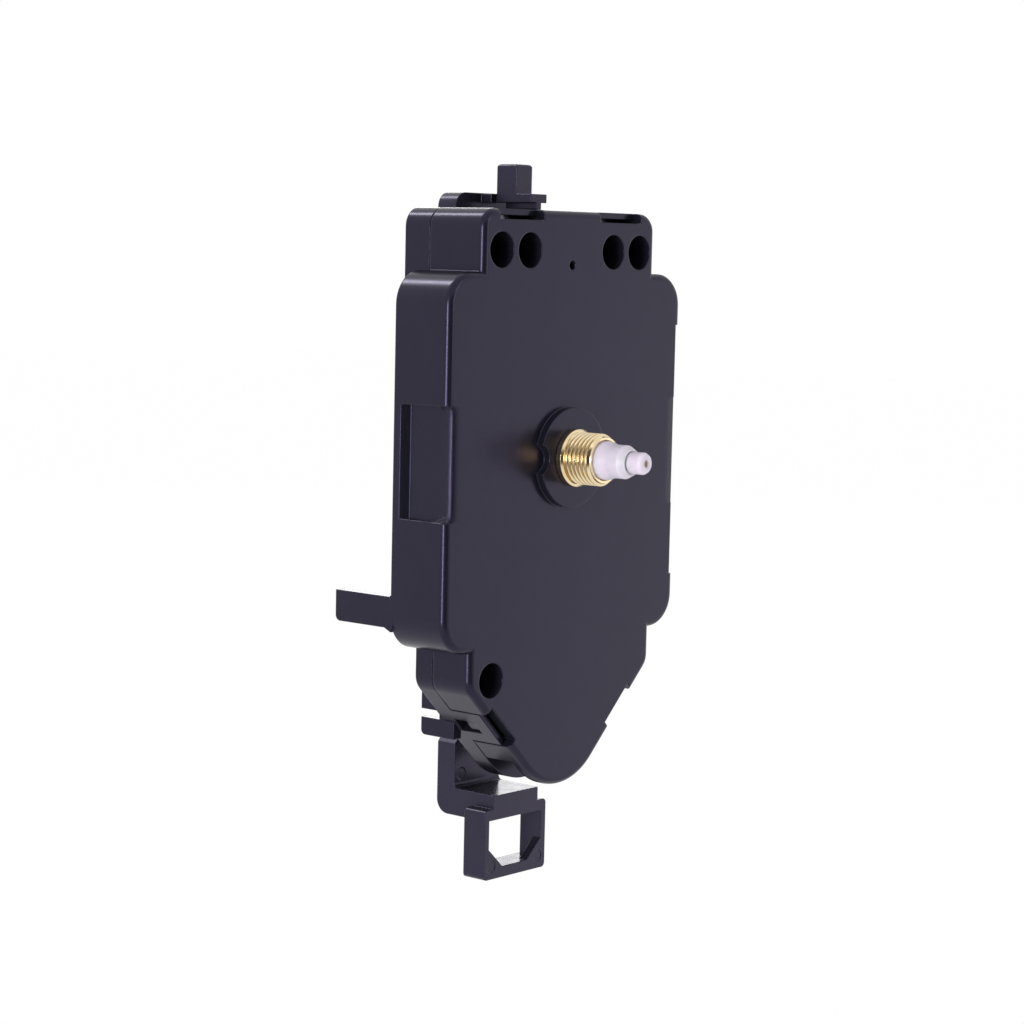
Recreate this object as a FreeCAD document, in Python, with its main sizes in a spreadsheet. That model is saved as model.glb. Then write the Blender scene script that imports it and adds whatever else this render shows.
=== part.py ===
import FreeCAD
import Part
import Sketcher
import math
import os
from types import SimpleNamespace

# Pendulum clock movement, in millimetres: X to the right seen from the front, Y to the back, Z up.
# The origin is where the axis of the hand shafts crosses the front face of the case.

doc = FreeCAD.newDocument("pendulum_movement")
sheet = doc.addObject("Spreadsheet::Sheet", "sizes")
s = SimpleNamespace()
NODES = []
VALUES = []

ROOT2 = math.sqrt(2)
LEFT = -1
RIGHT = 1
BACK = 1
FORWARD = -1
FRONT_PLANE = "XZ_Plane"
SIDE_PLANE = "YZ_Plane"
TOP_PLANE = "XY_Plane"
HALF = 0.5
FULL_TURN = 360
KNOB_RIDGES = 20
CHIP_TAPER = -25


class Size:
    # A length that is a number and also the expression that binds a feature to the sheet
    def __init__(self, text, value):
        self.text = text
        self.value = value

    def __add__(self, other):
        other = as_size(other)
        return Size("(" + self.text + " + " + other.text + ")", self.value + other.value)

    def __radd__(self, other):
        return as_size(other) + self

    def __sub__(self, other):
        other = as_size(other)
        return Size("(" + self.text + " - " + other.text + ")", self.value - other.value)

    def __rsub__(self, other):
        return as_size(other) - self

    def __mul__(self, other):
        other = as_size(other)
        return Size("(" + self.text + " * " + other.text + ")", self.value * other.value)

    def __rmul__(self, other):
        return as_size(other) * self

    def __truediv__(self, other):
        other = as_size(other)
        return Size("(" + self.text + " / " + other.text + ")", self.value / other.value)

    def __neg__(self):
        return Size("(0 - " + self.text + ")", -self.value)


def as_size(number):
    if isinstance(number, Size):
        return number
    return Size("(" + repr(float(number)) + ")", float(number))


def driving(**values):
    for name, value in values.items():
        VALUES.append(name)
        row = str(len(VALUES))
        sheet.set("A" + row, name)
        sheet.set("B" + row, str(value))
        sheet.setAlias("B" + row, name)
        setattr(s, name, Size("sizes." + name, float(value)))


# Case outline, seen from the front
driving(
    block_half_width=27.2,
    block_top=27.8,
    block_bottom=28.0,
    block_corner=5.0,
    head_half_width=20.1,
    head_top=37.0,
    head_corner=2.8,
    foot_half_width=21.4,
    foot_corner=3.0,
    lobe_point=54.9,
    lobe_radius=11.1,
)

# Case walls, depths and gaps
driving(
    case_depth=10.6,
    cover_depth=15.6,
    case_wall=1.5,
    front_wall=1.6,
    cover_wall=1.4,
    strap_wall=2.7,
    front_round=1.0,
    foot_seam=7.3,
    seam_gap=0.12,
    fit_gap=0.1,
    running_gap=0.06,
    overrun=2.0,
)

# Lobe under the foot: a thin front rim over a recessed floor
driving(
    lobe_rim=2.0,
    lobe_recess_half=9.0,
    lobe_recess_top=46.0,
    lobe_floor=1.3,
)

# Side pockets, the shallow recess beside the battery, and their back ramp
driving(
    pocket_half=8.4,
    pocket_depth=1.2,
    pocket_back=9.3,
    pocket_ramp=1.0,
    pocket_wall=0.8,
    recess_half=19.8,
    recess_depth=1.1,
)

# Blind holes in the front face and the small sighting hole
driving(
    hole_radius=2.65,
    hole_depth=8.0,
    hole_post_wall=0.85,
    hole_row=31.0,
    outer_hole=16.15,
    inner_hole=9.8,
    foot_hole_x=16.6,
    foot_hole_drop=32.4,
    sight_hole_radius=0.7,
    sight_hole_height=28.9,
)

# Raised pad round the shaft
driving(
    pad_radius=7.6,
    pad_height=1.2,
    pad_notch_radius=2.25,
    pad_notch_reach=7.9,
)

# Legs that stand out behind the lower corners
driving(
    leg_top=20.1,
    leg_bottom=24.75,
    leg_end=21.9,
    leg_thickness=1.9,
    leg_tip_round=0.9,
    leg_root_round=0.3,
    leg_web_reach=1.3,
    leg_web_drop=0.6,
)

# Snap straps on the top and on the slanted sides
driving(
    strap_front=1.7,
    strap_thickness=0.95,
    channel_depth=1.55,
    strap_side_gap=0.15,
    top_channel_inner=6.6,
    top_channel_outer=16.6,
    slant_channel_inner=11.8,
    slant_channel_outer=17.3,
    window_front=4.1,
    window_back=8.1,
    window_margin=2.2,
    slant_window_margin=1.65,
    catch_height=1.25,
    catch_length=2.0,
    catch_gap=0.15,
)

# Fork tabs that guard the pendulum lever
driving(
    fork_outer=15.1,
    fork_thickness=1.6,
    fork_end=15.2,
    fork_top=34.6,
    fork_bottom=42.65,
    fork_slot_top=38.65,
    fork_slot_bottom=39.95,
    fork_slot_start=11.5,
    fork_root_front=8.5,
    fork_round=0.8,
)

# Battery bay
driving(
    bay_left=10.5,
    bay_divider=1.2,
    bay_front_gap=0.1,
    bay_end_wall=0.9,
    bay_end_gap=0.1,
    box_left=21.2,
    box_shoulder=23.5,
    box_bottom=24.0,
    box_corner=2.0,
    cover_post_half=1.9,
    plate_thickness=1.4,
)

# Hand shaft bush
driving(
    thread_radius=3.95,
    collar_radius=4.35,
    collar_length=1.25,
    thread_length=4.85,
    bush_chamfer=0.4,
    collar_chamfer=0.3,
    bush_bore=2.96,
    flange_radius=5.4,
    flange_thickness=0.7,
)

# Hour, minute and seconds shafts
driving(
    hour_tube_radius=2.9,
    hour_seat_radius=2.53,
    hour_seat_start=9.3,
    hour_step_start=8.1,
    hour_seat_end=11.3,
    hour_nose_radius=1.95,
    hour_nose_end=12.4,
    hour_bore=1.69,
    minute_tube_radius=1.65,
    minute_seat_start=12.5,
    minute_neck_start=11.8,
    minute_neck_radius=1.4,
    minute_tube_end=15.1,
    minute_tip_round=0.6,
    minute_bore=0.57,
    seconds_arbor_radius=0.5,
    seconds_tip_inset=0.3,
)

# Wheels: modules, face widths and the levels they run at, measured back from the front face
driving(
    motion_module=0.45,
    hour_module=0.48,
    seconds_pinion_module=0.32,
    minute_module=0.3022222,
    rotor_module=0.3333333,
    intermediate_module=0.4,
    wheel_face=0.8,
    pinion_face=1.1,
    hour_level=2.6,
    motion_level=4.0,
    minute_level=5.4,
    train_plate_level=7.0,
    train_plate_thickness=1.0,
    third_level=8.3,
    seconds_level=9.4,
    rotor_magnet_level=8.6,
    rotor_magnet_length=2.2,
    rotor_magnet_radius=2.9,
    rotor_pinion_level=11.2,
    intermediate_level=11.4,
    hub_gap=0.2,
    arbor_radius=0.35,
    bridge_thickness=1.0,
    bridge_rim=1.8,
    pivot_depth=0.7,
    post_half=1.4,
    arbor_post_half=1.1,
    hub_radius=0.8,
    wheel_hub_radius=1.3,
    left_post_x=17.6,
    right_post_x=5.4,
    upper_post_height=12.6,
    lower_post_drop=9.6,
    board_post_x=18.5,
    board_post_drop=22.6,
    tooth_tip_share=0.14,
    addendum_share=0.75,
    dedendum_share=1.2,
    tooth_share=0.33,
)

# Setting shaft and knob
driving(
    set_arbor_radius=1.2,
    knob_radius=3.4,
    knob_length=2.0,
    knob_standoff=0.3,
    knob_recess=0.3,
    knob_groove_depth=0.4,
)

# Stepping motor
driving(
    stator_level=9.75,
    stator_thickness=0.8,
    stator_half_height=4.4,
    stator_left=19.4,
    stator_right=6.2,
    stator_arm=2.6,
    stator_gap=0.5,
    stator_notch=2.0,
    stator_pillar_half=0.9,
    stator_pillar_low=3.0,
    core_bottom=18.4,
    core_height=2.2,
    core_thickness=0.8,
    coil_gap=0.35,
    barrel_radius=1.75,
    bobbin_flange_radius=3.1,
    bobbin_flange=0.7,
    winding_radius=2.7,
)

# Pendulum drive coil and the magnet on the lever
driving(
    drive_height=37.5,
    drive_flange_radius=6.6,
    drive_core_radius=1.8,
    drive_winding_radius=6.0,
    drive_length=6.0,
    drive_flange=0.7,
    magnet_radius=4.0,
    magnet_thickness=3.4,
)

# Circuit board and what it carries
driving(
    board_left=23.8,
    board_right=7.6,
    board_bottom=25.2,
    board_top=12.8,
    board_level=8.0,
    board_thickness=0.9,
    crystal_radius=1.0,
    crystal_length=6.0,
    crystal_x=3.0,
    crystal_height=18.4,
    chip_radius=2.6,
    chip_rise=1.2,
    chip_x=9.0,
    chip_height=18.0,
)

# Battery contacts
driving(
    contact_thickness=0.3,
    contact_left=13.0,
    contact_right=22.0,
    contact_front=3.5,
    contact_back=10.4,
    bump_radius=2.4,
    bump_rise=0.4,
    spring_rise=0.8,
    spring_tip_radius=1.4,
)

# Pendulum lever: head, arm, shelf and hook
driving(
    lever_front=17.0,
    lever_thickness=3.6,
    lever_head_half=7.6,
    lever_head_top=39.6,
    lever_head_bottom=34.0,
    lever_head_round=2.2,
    lever_neck=29.0,
    lever_arm_half=3.5,
    lever_flare_top=43.9,
    lever_flare_bottom=45.8,
    lever_foot_half=5.25,
    shelf_top=52.8,
    shelf_bottom=57.05,
    shelf_bend_round=2.2,
    shelf_root_round=0.8,
    hook_front=8.8,
    hook_thickness=4.2,
    hook_half_width=7.25,
    hook_top=54.9,
    hook_bottom=65.85,
    hook_corner=0.7,
    hook_side=1.1,
    hook_window_top=56.6,
    hook_bar=1.7,
    hook_gusset_width=3.25,
    hook_gusset_height=3.05,
    hook_gusset_depth=1.5,
    hook_mark_x=5.5,
    hook_mark_drop=63.9,
    mark_radius=0.95,
    mark_depth=0.08,
    plate_mark_x=3.6,
    plate_mark_drop=50.7,
)

# Cross piece at the top of the lever, whose edge rests in a notch on the case
driving(
    cross_half_width=1.8,
    cross_front=6.9,
    cross_bottom=38.2,
    cross_top=39.5,
    upright_front=9.9,
    upright_back=13.8,
    upright_top=44.0,
    upright_round=0.5,
    root_front=14.9,
    web_half=0.55,
    web_back=13.0,
    knife_start=37.3,
    knife_tip=36.6,
    knife_tip_half=0.08,
    notch_floor_gap=0.03,
    notch_half_width=0.9,
    notch_front=6.4,
)

doc.recompute()

# Levels and lines that several pieces share
plate_front = s.case_depth - s.plate_thickness
cover_back_inside = s.cover_depth - s.cover_wall
cavity_x = s.block_half_width - s.case_wall
bush_flange_back = s.front_wall + s.flange_thickness
bay_top = s.block_top - s.case_wall + s.bay_end_gap
bay_bottom = s.block_bottom - s.case_wall
front_pivot = s.train_plate_level + s.train_plate_thickness - s.pivot_depth
rear_pivot = cover_back_inside - s.bridge_thickness + s.pivot_depth
pillar_x = s.stator_left - s.stator_arm / 2


def vector(x, y, z):
    return FreeCAD.Vector(as_size(x).value, as_size(y).value, as_size(z).value)


def bind(thing, prop, size):
    thing.setExpression(prop, as_size(size).text)


def new_body(label):
    body = doc.addObject("PartDesign::Body", label)
    body.Label = label
    NODES.append(body)
    return body


def new_feature(label, shape):
    feature = doc.addObject("Part::Feature", label)
    feature.Label = label
    feature.Shape = shape
    feature.Placement = FreeCAD.Placement()
    NODES.append(feature)
    return feature


def bind_vertex(sketch, geometry, point, x, height):
    for kind, size, axis in (("DistanceX", as_size(x), -2), ("DistanceY", as_size(height), -1)):
        if size.value == 0.0:
            sketch.addConstraint(Sketcher.Constraint("PointOnObject", geometry, point, axis))
            continue
        number = sketch.addConstraint(Sketcher.Constraint(kind, -1, 1, geometry, point, size.value))
        sketch.setExpression("Constraints[" + str(number) + "]", size.text)


def polygon(*points):
    def draw(sketch):
        first = sketch.GeometryCount
        count = len(points)
        for index in range(count):
            start = points[index]
            end = points[(index + 1) % count]
            sketch.addGeometry(Part.LineSegment(vector(start[0], start[1], 0), vector(end[0], end[1], 0)), False)
        for index in range(count):
            following = first + (index + 1) % count
            sketch.addConstraint(Sketcher.Constraint("Coincident", first + index, 2, following, 1))
        for index, (x, height) in enumerate(points):
            bind_vertex(sketch, first + index, 1, x, height)
    return draw


def rectangle(x0, x1, low, high):
    return polygon((x0, low), (x1, low), (x1, high), (x0, high))


def circle(x, height, radius):
    def draw(sketch):
        radius_size = as_size(radius)
        number = sketch.addGeometry(Part.Circle(vector(x, height, 0), vector(0, 0, 1), radius_size.value), False)
        bind_vertex(sketch, number, 3, x, height)
        ring = sketch.addConstraint(Sketcher.Constraint("Radius", number, radius_size.value))
        sketch.setExpression("Constraints[" + str(ring) + "]", radius_size.text)
    return draw


def new_sketch(body, plane, level, loops):
    sketch = body.newObject("Sketcher::SketchObject", body.Label + "_sketch")
    support = [feature for feature in body.Origin.OriginFeatures if feature.Role == plane][0]
    sketch.AttachmentSupport = [(support, "")]
    sketch.MapMode = "FlatFace"
    offset = -as_size(level) if plane == FRONT_PLANE else as_size(level)
    bind(sketch, "AttachmentOffset.Base.z", offset)
    for loop in loops:
        loop(sketch)
    return sketch


# The front plane's normal points forward, the side plane's to the right
def normal_sign(plane):
    return FORWARD if plane == FRONT_PLANE else RIGHT


def pad(body, plane, level, length, direction, *loops):
    feature = body.newObject("PartDesign::Pad", body.Label + "_pad")
    sketch = new_sketch(body, plane, level, loops)
    feature.Profile = sketch
    feature.Reversed = direction != normal_sign(plane)
    bind(feature, "Length", length)
    sketch.Visibility = False
    doc.recompute()
    return feature


def pocket(body, plane, level, length, direction, *loops):
    before = body.Shape.Volume
    feature = body.newObject("PartDesign::Pocket", body.Label + "_pocket")
    sketch = new_sketch(body, plane, level, loops)
    feature.Profile = sketch
    feature.Reversed = direction == normal_sign(plane)
    bind(feature, "Length", length)
    doc.recompute()
    if not body.Shape.Volume < before:
        raise ValueError(feature.Name + " cuts nothing: " + feature.getStatusString())
    return feature


def round_edges(body, radius, pick):
    base = body.Tip
    names = ["Edge" + str(number + 1) for number, edge in enumerate(base.Shape.Edges) if pick(edge)]
    if not names:
        raise ValueError(body.Label + " has no edge to round")
    feature = body.newObject("PartDesign::Fillet", body.Label + "_fillet")
    feature.Base = (base, names)
    bind(feature, "Radius", radius)
    doc.recompute()
    if "Invalid" in feature.State:
        raise ValueError(feature.Name + " can't be rounded")
    return feature


NEAR = 0.01


def near(a, b):
    return abs(as_size(a).value - as_size(b).value) < NEAR


# Picks the straight edges that run front to back through the given points
def edges_along_depth(*points):
    def pick(edge):
        box = edge.BoundBox
        flat = box.XLength < NEAR and box.ZLength < NEAR
        return flat and any(near(box.XMin, x) and near(box.ZMin, z) for x, z in points)
    return pick


# Picks the straight edges that run left to right through the given points
def edges_across(*points):
    def pick(edge):
        box = edge.BoundBox
        flat = box.YLength < NEAR and box.ZLength < NEAR
        return flat and any(near(box.YMin, y) and near(box.ZMin, z) for y, z in points)
    return pick


def edges_at_depth(level):
    def pick(edge):
        box = edge.BoundBox
        return near(box.YMin, level) and near(box.YMax, level)
    return pick


def edges_at_height(level):
    def pick(edge):
        box = edge.BoundBox
        return near(box.ZMin, level) and near(box.ZMax, level)
    return pick


def both_sides(points):
    return list(points) + [(-x, height) for x, height in reversed(points) if as_size(x).value != 0.0]


def centre_line_height(inset):
    return -(s.lobe_point - inset * ROOT2)


def foot_points(inset):
    side = s.foot_half_width - inset
    return [
        (side, side + centre_line_height(inset)),
        (as_size(0), centre_line_height(inset)),
    ]


def case_points(inset):
    head = s.head_half_width - inset
    side = s.block_half_width - inset
    foot = s.foot_half_width - inset
    right_side = [
        (head, s.head_top - inset),
        (head, s.block_top - inset),
        (side, s.block_top - inset),
        (side, -(s.block_bottom - inset)),
        (foot, -(s.block_bottom - inset)),
    ]
    return both_sides(right_side + foot_points(inset))


def mirrored(x, z):
    return [(x, z), (-x, z)]


# A prism's outline across the slanted side of the foot, between two distances from the centre line
def slant_strip(side, inner, outer, above, below):
    shift_up = as_size(above) / ROOT2
    shift_down = as_size(below) / ROOT2
    corners = []
    for reach, shift in ((inner, shift_up), (outer, shift_up), (outer, -shift_down), (inner, -shift_down)):
        x = as_size(reach) + shift
        z = -(s.lobe_point - as_size(reach)) - shift
        corners.append((x * side, z))
    return polygon(*corners)


# Arbor positions: each is the pitch distance of its pair away from the arbor that drives it
def step_from(start, module, teeth_sum, angle_degrees):
    distance = module * teeth_sum / 2
    angle = math.radians(angle_degrees)
    return (start[0] + distance * math.cos(angle), start[1] + distance * math.sin(angle))


HOUR_TEETH = 24
MOTION_PINION_TEETH = 6
MOTION_TEETH = 24
CANNON_TEETH = 8
MINUTE_TEETH = 48
THIRD_PINION_TEETH = 6
THIRD_TEETH = 45
SECONDS_PINION_TEETH = 6
SECONDS_TEETH = 30
INTERMEDIATE_PINION_TEETH = 6
INTERMEDIATE_TEETH = 36
ROTOR_PINION_TEETH = 6
SETTING_TEETH = 8

MOTION_ANGLE = 225
THIRD_ANGLE = 100
INTERMEDIATE_ANGLE = 165
ROTOR_ANGLE = 150
SETTING_ANGLE = 200

CENTRE = (as_size(0), as_size(0))
MOTION_ARBOR = step_from(CENTRE, s.motion_module, CANNON_TEETH + MOTION_TEETH, MOTION_ANGLE)
THIRD_ARBOR = step_from(CENTRE, s.seconds_pinion_module, SECONDS_PINION_TEETH + THIRD_TEETH, THIRD_ANGLE)
INTERMEDIATE_ARBOR = step_from(
    CENTRE, s.intermediate_module, INTERMEDIATE_PINION_TEETH + SECONDS_TEETH, INTERMEDIATE_ANGLE)
ROTOR_ARBOR = step_from(
    INTERMEDIATE_ARBOR, s.rotor_module, ROTOR_PINION_TEETH + INTERMEDIATE_TEETH, ROTOR_ANGLE)
SETTING_ARBOR = step_from(MOTION_ARBOR, s.motion_module, MOTION_TEETH + SETTING_TEETH, SETTING_ANGLE)

TRAIN_POSTS = [
    (-s.left_post_x, s.upper_post_height),
    (s.right_post_x, -s.lower_post_drop),
    (-s.left_post_x, -s.lower_post_drop),
]
BOARD_POSTS = [(-s.board_post_x, -s.board_post_drop), (s.right_post_x, -s.board_post_drop)]


def make_front_case():
    body = new_body("front_case")
    pad(body, FRONT_PLANE, 0, s.case_depth, BACK, polygon(*case_points(0)))
    case_corners = both_sides([
        (s.block_half_width, s.block_top),
        (s.block_half_width, -s.block_bottom),
    ])
    round_edges(body, s.block_corner, edges_along_depth(*case_corners))
    round_edges(body, s.head_corner, edges_along_depth(*mirrored(s.head_half_width, s.head_top)))
    foot_corner, point = foot_points(0)
    round_edges(body, s.foot_corner, edges_along_depth(*mirrored(*foot_corner)))
    round_edges(body, s.lobe_radius, edges_along_depth(point))
    foot_reach = s.block_half_width + s.overrun
    pocket(body, FRONT_PLANE, s.foot_seam, s.case_depth, BACK,
           rectangle(-foot_reach, foot_reach, -(s.lobe_point + s.overrun), -s.block_bottom))
    round_edges(body, s.front_round, edges_at_depth(0))
    cut_case_cavity(body)
    cut_knife_clearance(body)
    cut_side_pockets(body)
    cut_strap_channels(body)
    cut_lobe_recess(body)
    add_case_posts(body)
    add_shaft_pad(body)
    add_legs(body)
    add_strap_catches(body)
    return body


def cut_case_cavity(body):
    head = s.head_half_width - s.case_wall
    side = cavity_x
    foot = s.foot_half_width - s.case_wall
    slant = s.lobe_point - s.strap_wall * ROOT2
    floor = s.lobe_recess_top - s.lobe_floor
    right_side = [
        (head, s.head_top - s.strap_wall),
        (head, s.block_top - s.case_wall),
        (side, s.block_top - s.case_wall),
        (side, -(s.block_bottom - s.case_wall)),
        (foot, -(s.block_bottom - s.case_wall)),
        (foot, foot - slant),
        (slant - floor, -floor),
    ]
    pocket(body, FRONT_PLANE, s.front_wall, s.case_depth, BACK, polygon(*both_sides(right_side)))
    corners = both_sides([right_side[2], right_side[3]])
    round_edges(body, s.block_corner - s.case_wall, edges_along_depth(*corners))
    head_corners = mirrored(*right_side[0])
    round_edges(body, s.head_corner - s.case_wall, edges_along_depth(*head_corners))


def pocket_outline(side, surface, floor, front, back, ramp):
    points = [(surface, front), (floor, front), (floor, back - ramp), (surface, back)]
    return [(as_size(x) * side, y) for x, y in points]


# Each side has a shallow pocket with a ramped back, open at the front edge. The wall behind it is thickened inward.
def cut_side_pockets(body):
    inner_face = s.block_half_width - s.pocket_depth - s.pocket_wall
    margin = s.pocket_half + s.pocket_wall
    for side in (LEFT, RIGHT):
        pad(body, FRONT_PLANE, s.front_wall - s.fit_gap, s.pocket_back + s.pocket_wall - s.front_wall, BACK,
            rectangle(inner_face * side, (cavity_x + s.fit_gap) * side, -margin, margin))
    recess_floor = s.block_half_width - s.recess_depth
    pocket(body, FRONT_PLANE, -s.overrun, s.pocket_back + s.overrun, BACK,
           rectangle(recess_floor, s.block_half_width + s.overrun, -s.recess_half, s.recess_half))
    pocket_floor = s.block_half_width - s.pocket_depth
    for side in (LEFT, RIGHT):
        pocket(body, FRONT_PLANE, -s.overrun, s.pocket_back - s.pocket_ramp + s.overrun, BACK,
               rectangle(pocket_floor * side, (s.block_half_width + s.overrun) * side, -s.pocket_half, s.pocket_half))
        cut_pocket_ramp(body, side, pocket_floor)


def cut_pocket_ramp(body, side, pocket_floor):
    ramp_start = s.pocket_back - s.pocket_ramp
    surface = s.block_half_width
    before = body.Shape.Volume
    feature = body.newObject("PartDesign::Pocket", body.Label + "_ramp")
    sketch = new_sketch(body, "XY_Plane", s.pocket_half, [polygon(
        (pocket_floor * side, ramp_start - s.fit_gap),
        (pocket_floor * side, ramp_start),
        (surface * side, s.pocket_back),
        ((surface + s.overrun) * side, s.pocket_back),
        ((surface + s.overrun) * side, ramp_start - s.fit_gap),
    )])
    feature.Profile = sketch
    bind(feature, "Length", s.pocket_half * 2)
    doc.recompute()
    if not body.Shape.Volume < before:
        raise ValueError("the pocket ramp cuts nothing")


# The straps of the rear cover lie in channels that stay open at the front face
def cut_strap_channels(body):
    for side in (LEFT, RIGHT):
        pocket(body, FRONT_PLANE, -s.overrun, s.case_depth + s.overrun * 2, BACK,
               rectangle(s.top_channel_inner * side, s.top_channel_outer * side,
                         s.head_top - s.channel_depth, s.head_top + s.overrun))
        pocket(body, FRONT_PLANE, -s.overrun, s.case_depth + s.overrun * 2, BACK,
               slant_strip(side, s.slant_channel_inner, s.slant_channel_outer, s.overrun, s.channel_depth))


def cut_lobe_recess(body):
    pocket(body, FRONT_PLANE, s.lobe_rim, s.case_depth, BACK,
           rectangle(-s.lobe_recess_half, s.lobe_recess_half,
                     -(s.lobe_point + s.overrun), -s.lobe_recess_top))


def blind_holes():
    row = [(s.outer_hole, s.hole_row), (s.inner_hole, s.hole_row)]
    return both_sides(row) + [(-s.foot_hole_x, -s.foot_hole_drop)]


def add_case_posts(body):
    inside = s.front_wall - s.fit_gap
    tube_radius = s.hole_radius + s.hole_post_wall
    head_holes = blind_holes()[:-1]
    foot_hole = blind_holes()[-1]
    for pair in (head_holes[::3], head_holes[1:3]):
        grow_posts(body, inside, plate_front, circles(pair, tube_radius))
    grow_posts(body, inside, s.foot_seam, circles([foot_hole], tube_radius))
    grow_posts(body, inside, s.train_plate_level, squares(TRAIN_POSTS, s.post_half))
    grow_posts(body, inside, s.board_level, squares(BOARD_POSTS, s.post_half))
    grow_posts(body, inside, s.motion_level + s.hub_gap, squares([THIRD_ARBOR], s.arbor_post_half))
    grow_posts(body, inside, s.hour_level - s.hub_gap, squares([MOTION_ARBOR], s.arbor_post_half))
    pocket(body, FRONT_PLANE, -s.overrun, s.hole_depth + s.overrun, BACK, *circles(head_holes, s.hole_radius))
    pocket(body, FRONT_PLANE, -s.overrun, s.foot_seam - s.plate_thickness + s.overrun, BACK,
           *circles([foot_hole], s.hole_radius))
    pocket(body, FRONT_PLANE, -s.overrun, s.front_wall + s.overrun * 2, BACK,
           circle(0, s.sight_hole_height, s.sight_hole_radius))
    pocket(body, FRONT_PLANE, s.front_wall, s.case_depth, BACK,
           *circles([THIRD_ARBOR, MOTION_ARBOR], s.arbor_radius + s.running_gap))


def circles(places, radius):
    return [circle(x, z, radius) for x, z in places]


def squares(places, half):
    return [rectangle(x - half, x + half, z - half, z + half) for x, z in places]


def grow_posts(body, start, end, outlines):
    pad(body, FRONT_PLANE, start, end - start, BACK, *outlines)


# The round pad has a shallow notch on each side of the shaft
def add_shaft_pad(body):
    pad(body, FRONT_PLANE, -s.pad_height, s.pad_height + s.fit_gap, BACK, circle(0, 0, s.pad_radius))
    for side in (LEFT, RIGHT):
        pocket(body, FRONT_PLANE, -(s.pad_height + s.overrun), s.pad_height + s.overrun, BACK,
               circle(s.pad_notch_reach * side, 0, s.pad_notch_radius))
    pocket(body, FRONT_PLANE, -(s.pad_height + s.overrun), s.pad_height + s.front_wall + s.overrun * 2, BACK,
           circle(0, 0, s.thread_radius + s.running_gap))


def add_legs(body):
    root = s.leg_root_round
    for side in (LEFT, RIGHT):
        pad(body, SIDE_PLANE, s.block_half_width * side, s.leg_thickness, -side, polygon(
            (s.case_depth - root, -s.leg_bottom),
            (s.case_depth - root, -(s.leg_top - root)),
            (s.case_depth, -(s.leg_top - root)),
            (s.case_depth + root, -s.leg_top),
            (s.leg_end, -s.leg_top),
            (s.leg_end, -s.leg_bottom),
            (s.case_depth + s.leg_web_reach, -s.leg_bottom),
            (s.case_depth, -(s.leg_bottom + s.leg_web_drop)),
        ))
    round_edges(body, s.leg_tip_round, edges_across((s.leg_end, -s.leg_bottom)))


# Wedge catches stand in the channels and show through the windows of the straps
def add_strap_catches(body):
    top_floor = s.head_top - s.channel_depth
    front = s.window_front + s.catch_gap
    back = front + s.catch_length
    inset = s.window_margin + s.strap_side_gap + s.catch_gap
    inner = s.top_channel_inner + inset
    outer = s.top_channel_outer - inset
    slant_inset = s.slant_window_margin + s.strap_side_gap + s.catch_gap
    for side in (LEFT, RIGHT):
        pad(body, SIDE_PLANE, inner * side, outer - inner, side, polygon(
            (front, top_floor - s.fit_gap),
            (front, top_floor),
            (back, top_floor + s.catch_height),
            (back, top_floor - s.fit_gap),
        ))
        pad(body, FRONT_PLANE, front, s.catch_length, BACK, slant_strip(
            side, s.slant_channel_inner + slant_inset, s.slant_channel_outer - slant_inset,
            s.catch_height - s.channel_depth, s.channel_depth + s.fit_gap))


def cut_knife_clearance(body):
    low = s.knife_tip - s.notch_floor_gap * 4
    pocket(body, FRONT_PLANE, s.notch_front, s.case_depth, BACK, polygon(
        (-s.notch_half_width, s.head_top + s.overrun),
        (-s.notch_half_width, s.head_top),
        (as_size(0), low - s.notch_floor_gap),
        (s.notch_half_width, s.head_top),
        (s.notch_half_width, s.head_top + s.overrun),
    ))


# The rear cover: a plate that closes the case, a raised box over the works, the foot's rear rim, four straps and
# the fork tabs. It is one moulding, so it is one body.
def make_rear_cover():
    body = new_body("rear_cover")
    cover_front = s.case_depth + s.seam_gap
    add_cover_plate(body, cover_front)
    add_cover_foot(body, cover_front)
    add_cover_box(body, cover_front)
    add_bay_walls(body)
    hollow_cover(body)
    add_cover_posts(body)
    add_straps(body, cover_front)
    add_fork_tabs(body, cover_front)
    cut_knife_notch(body, cover_front)
    pocket(body, FRONT_PLANE, cover_back_inside - s.overrun, s.cover_wall + s.overrun * 2, BACK,
           circle(SETTING_ARBOR[0], SETTING_ARBOR[1], s.set_arbor_radius + s.running_gap))
    return body


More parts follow.
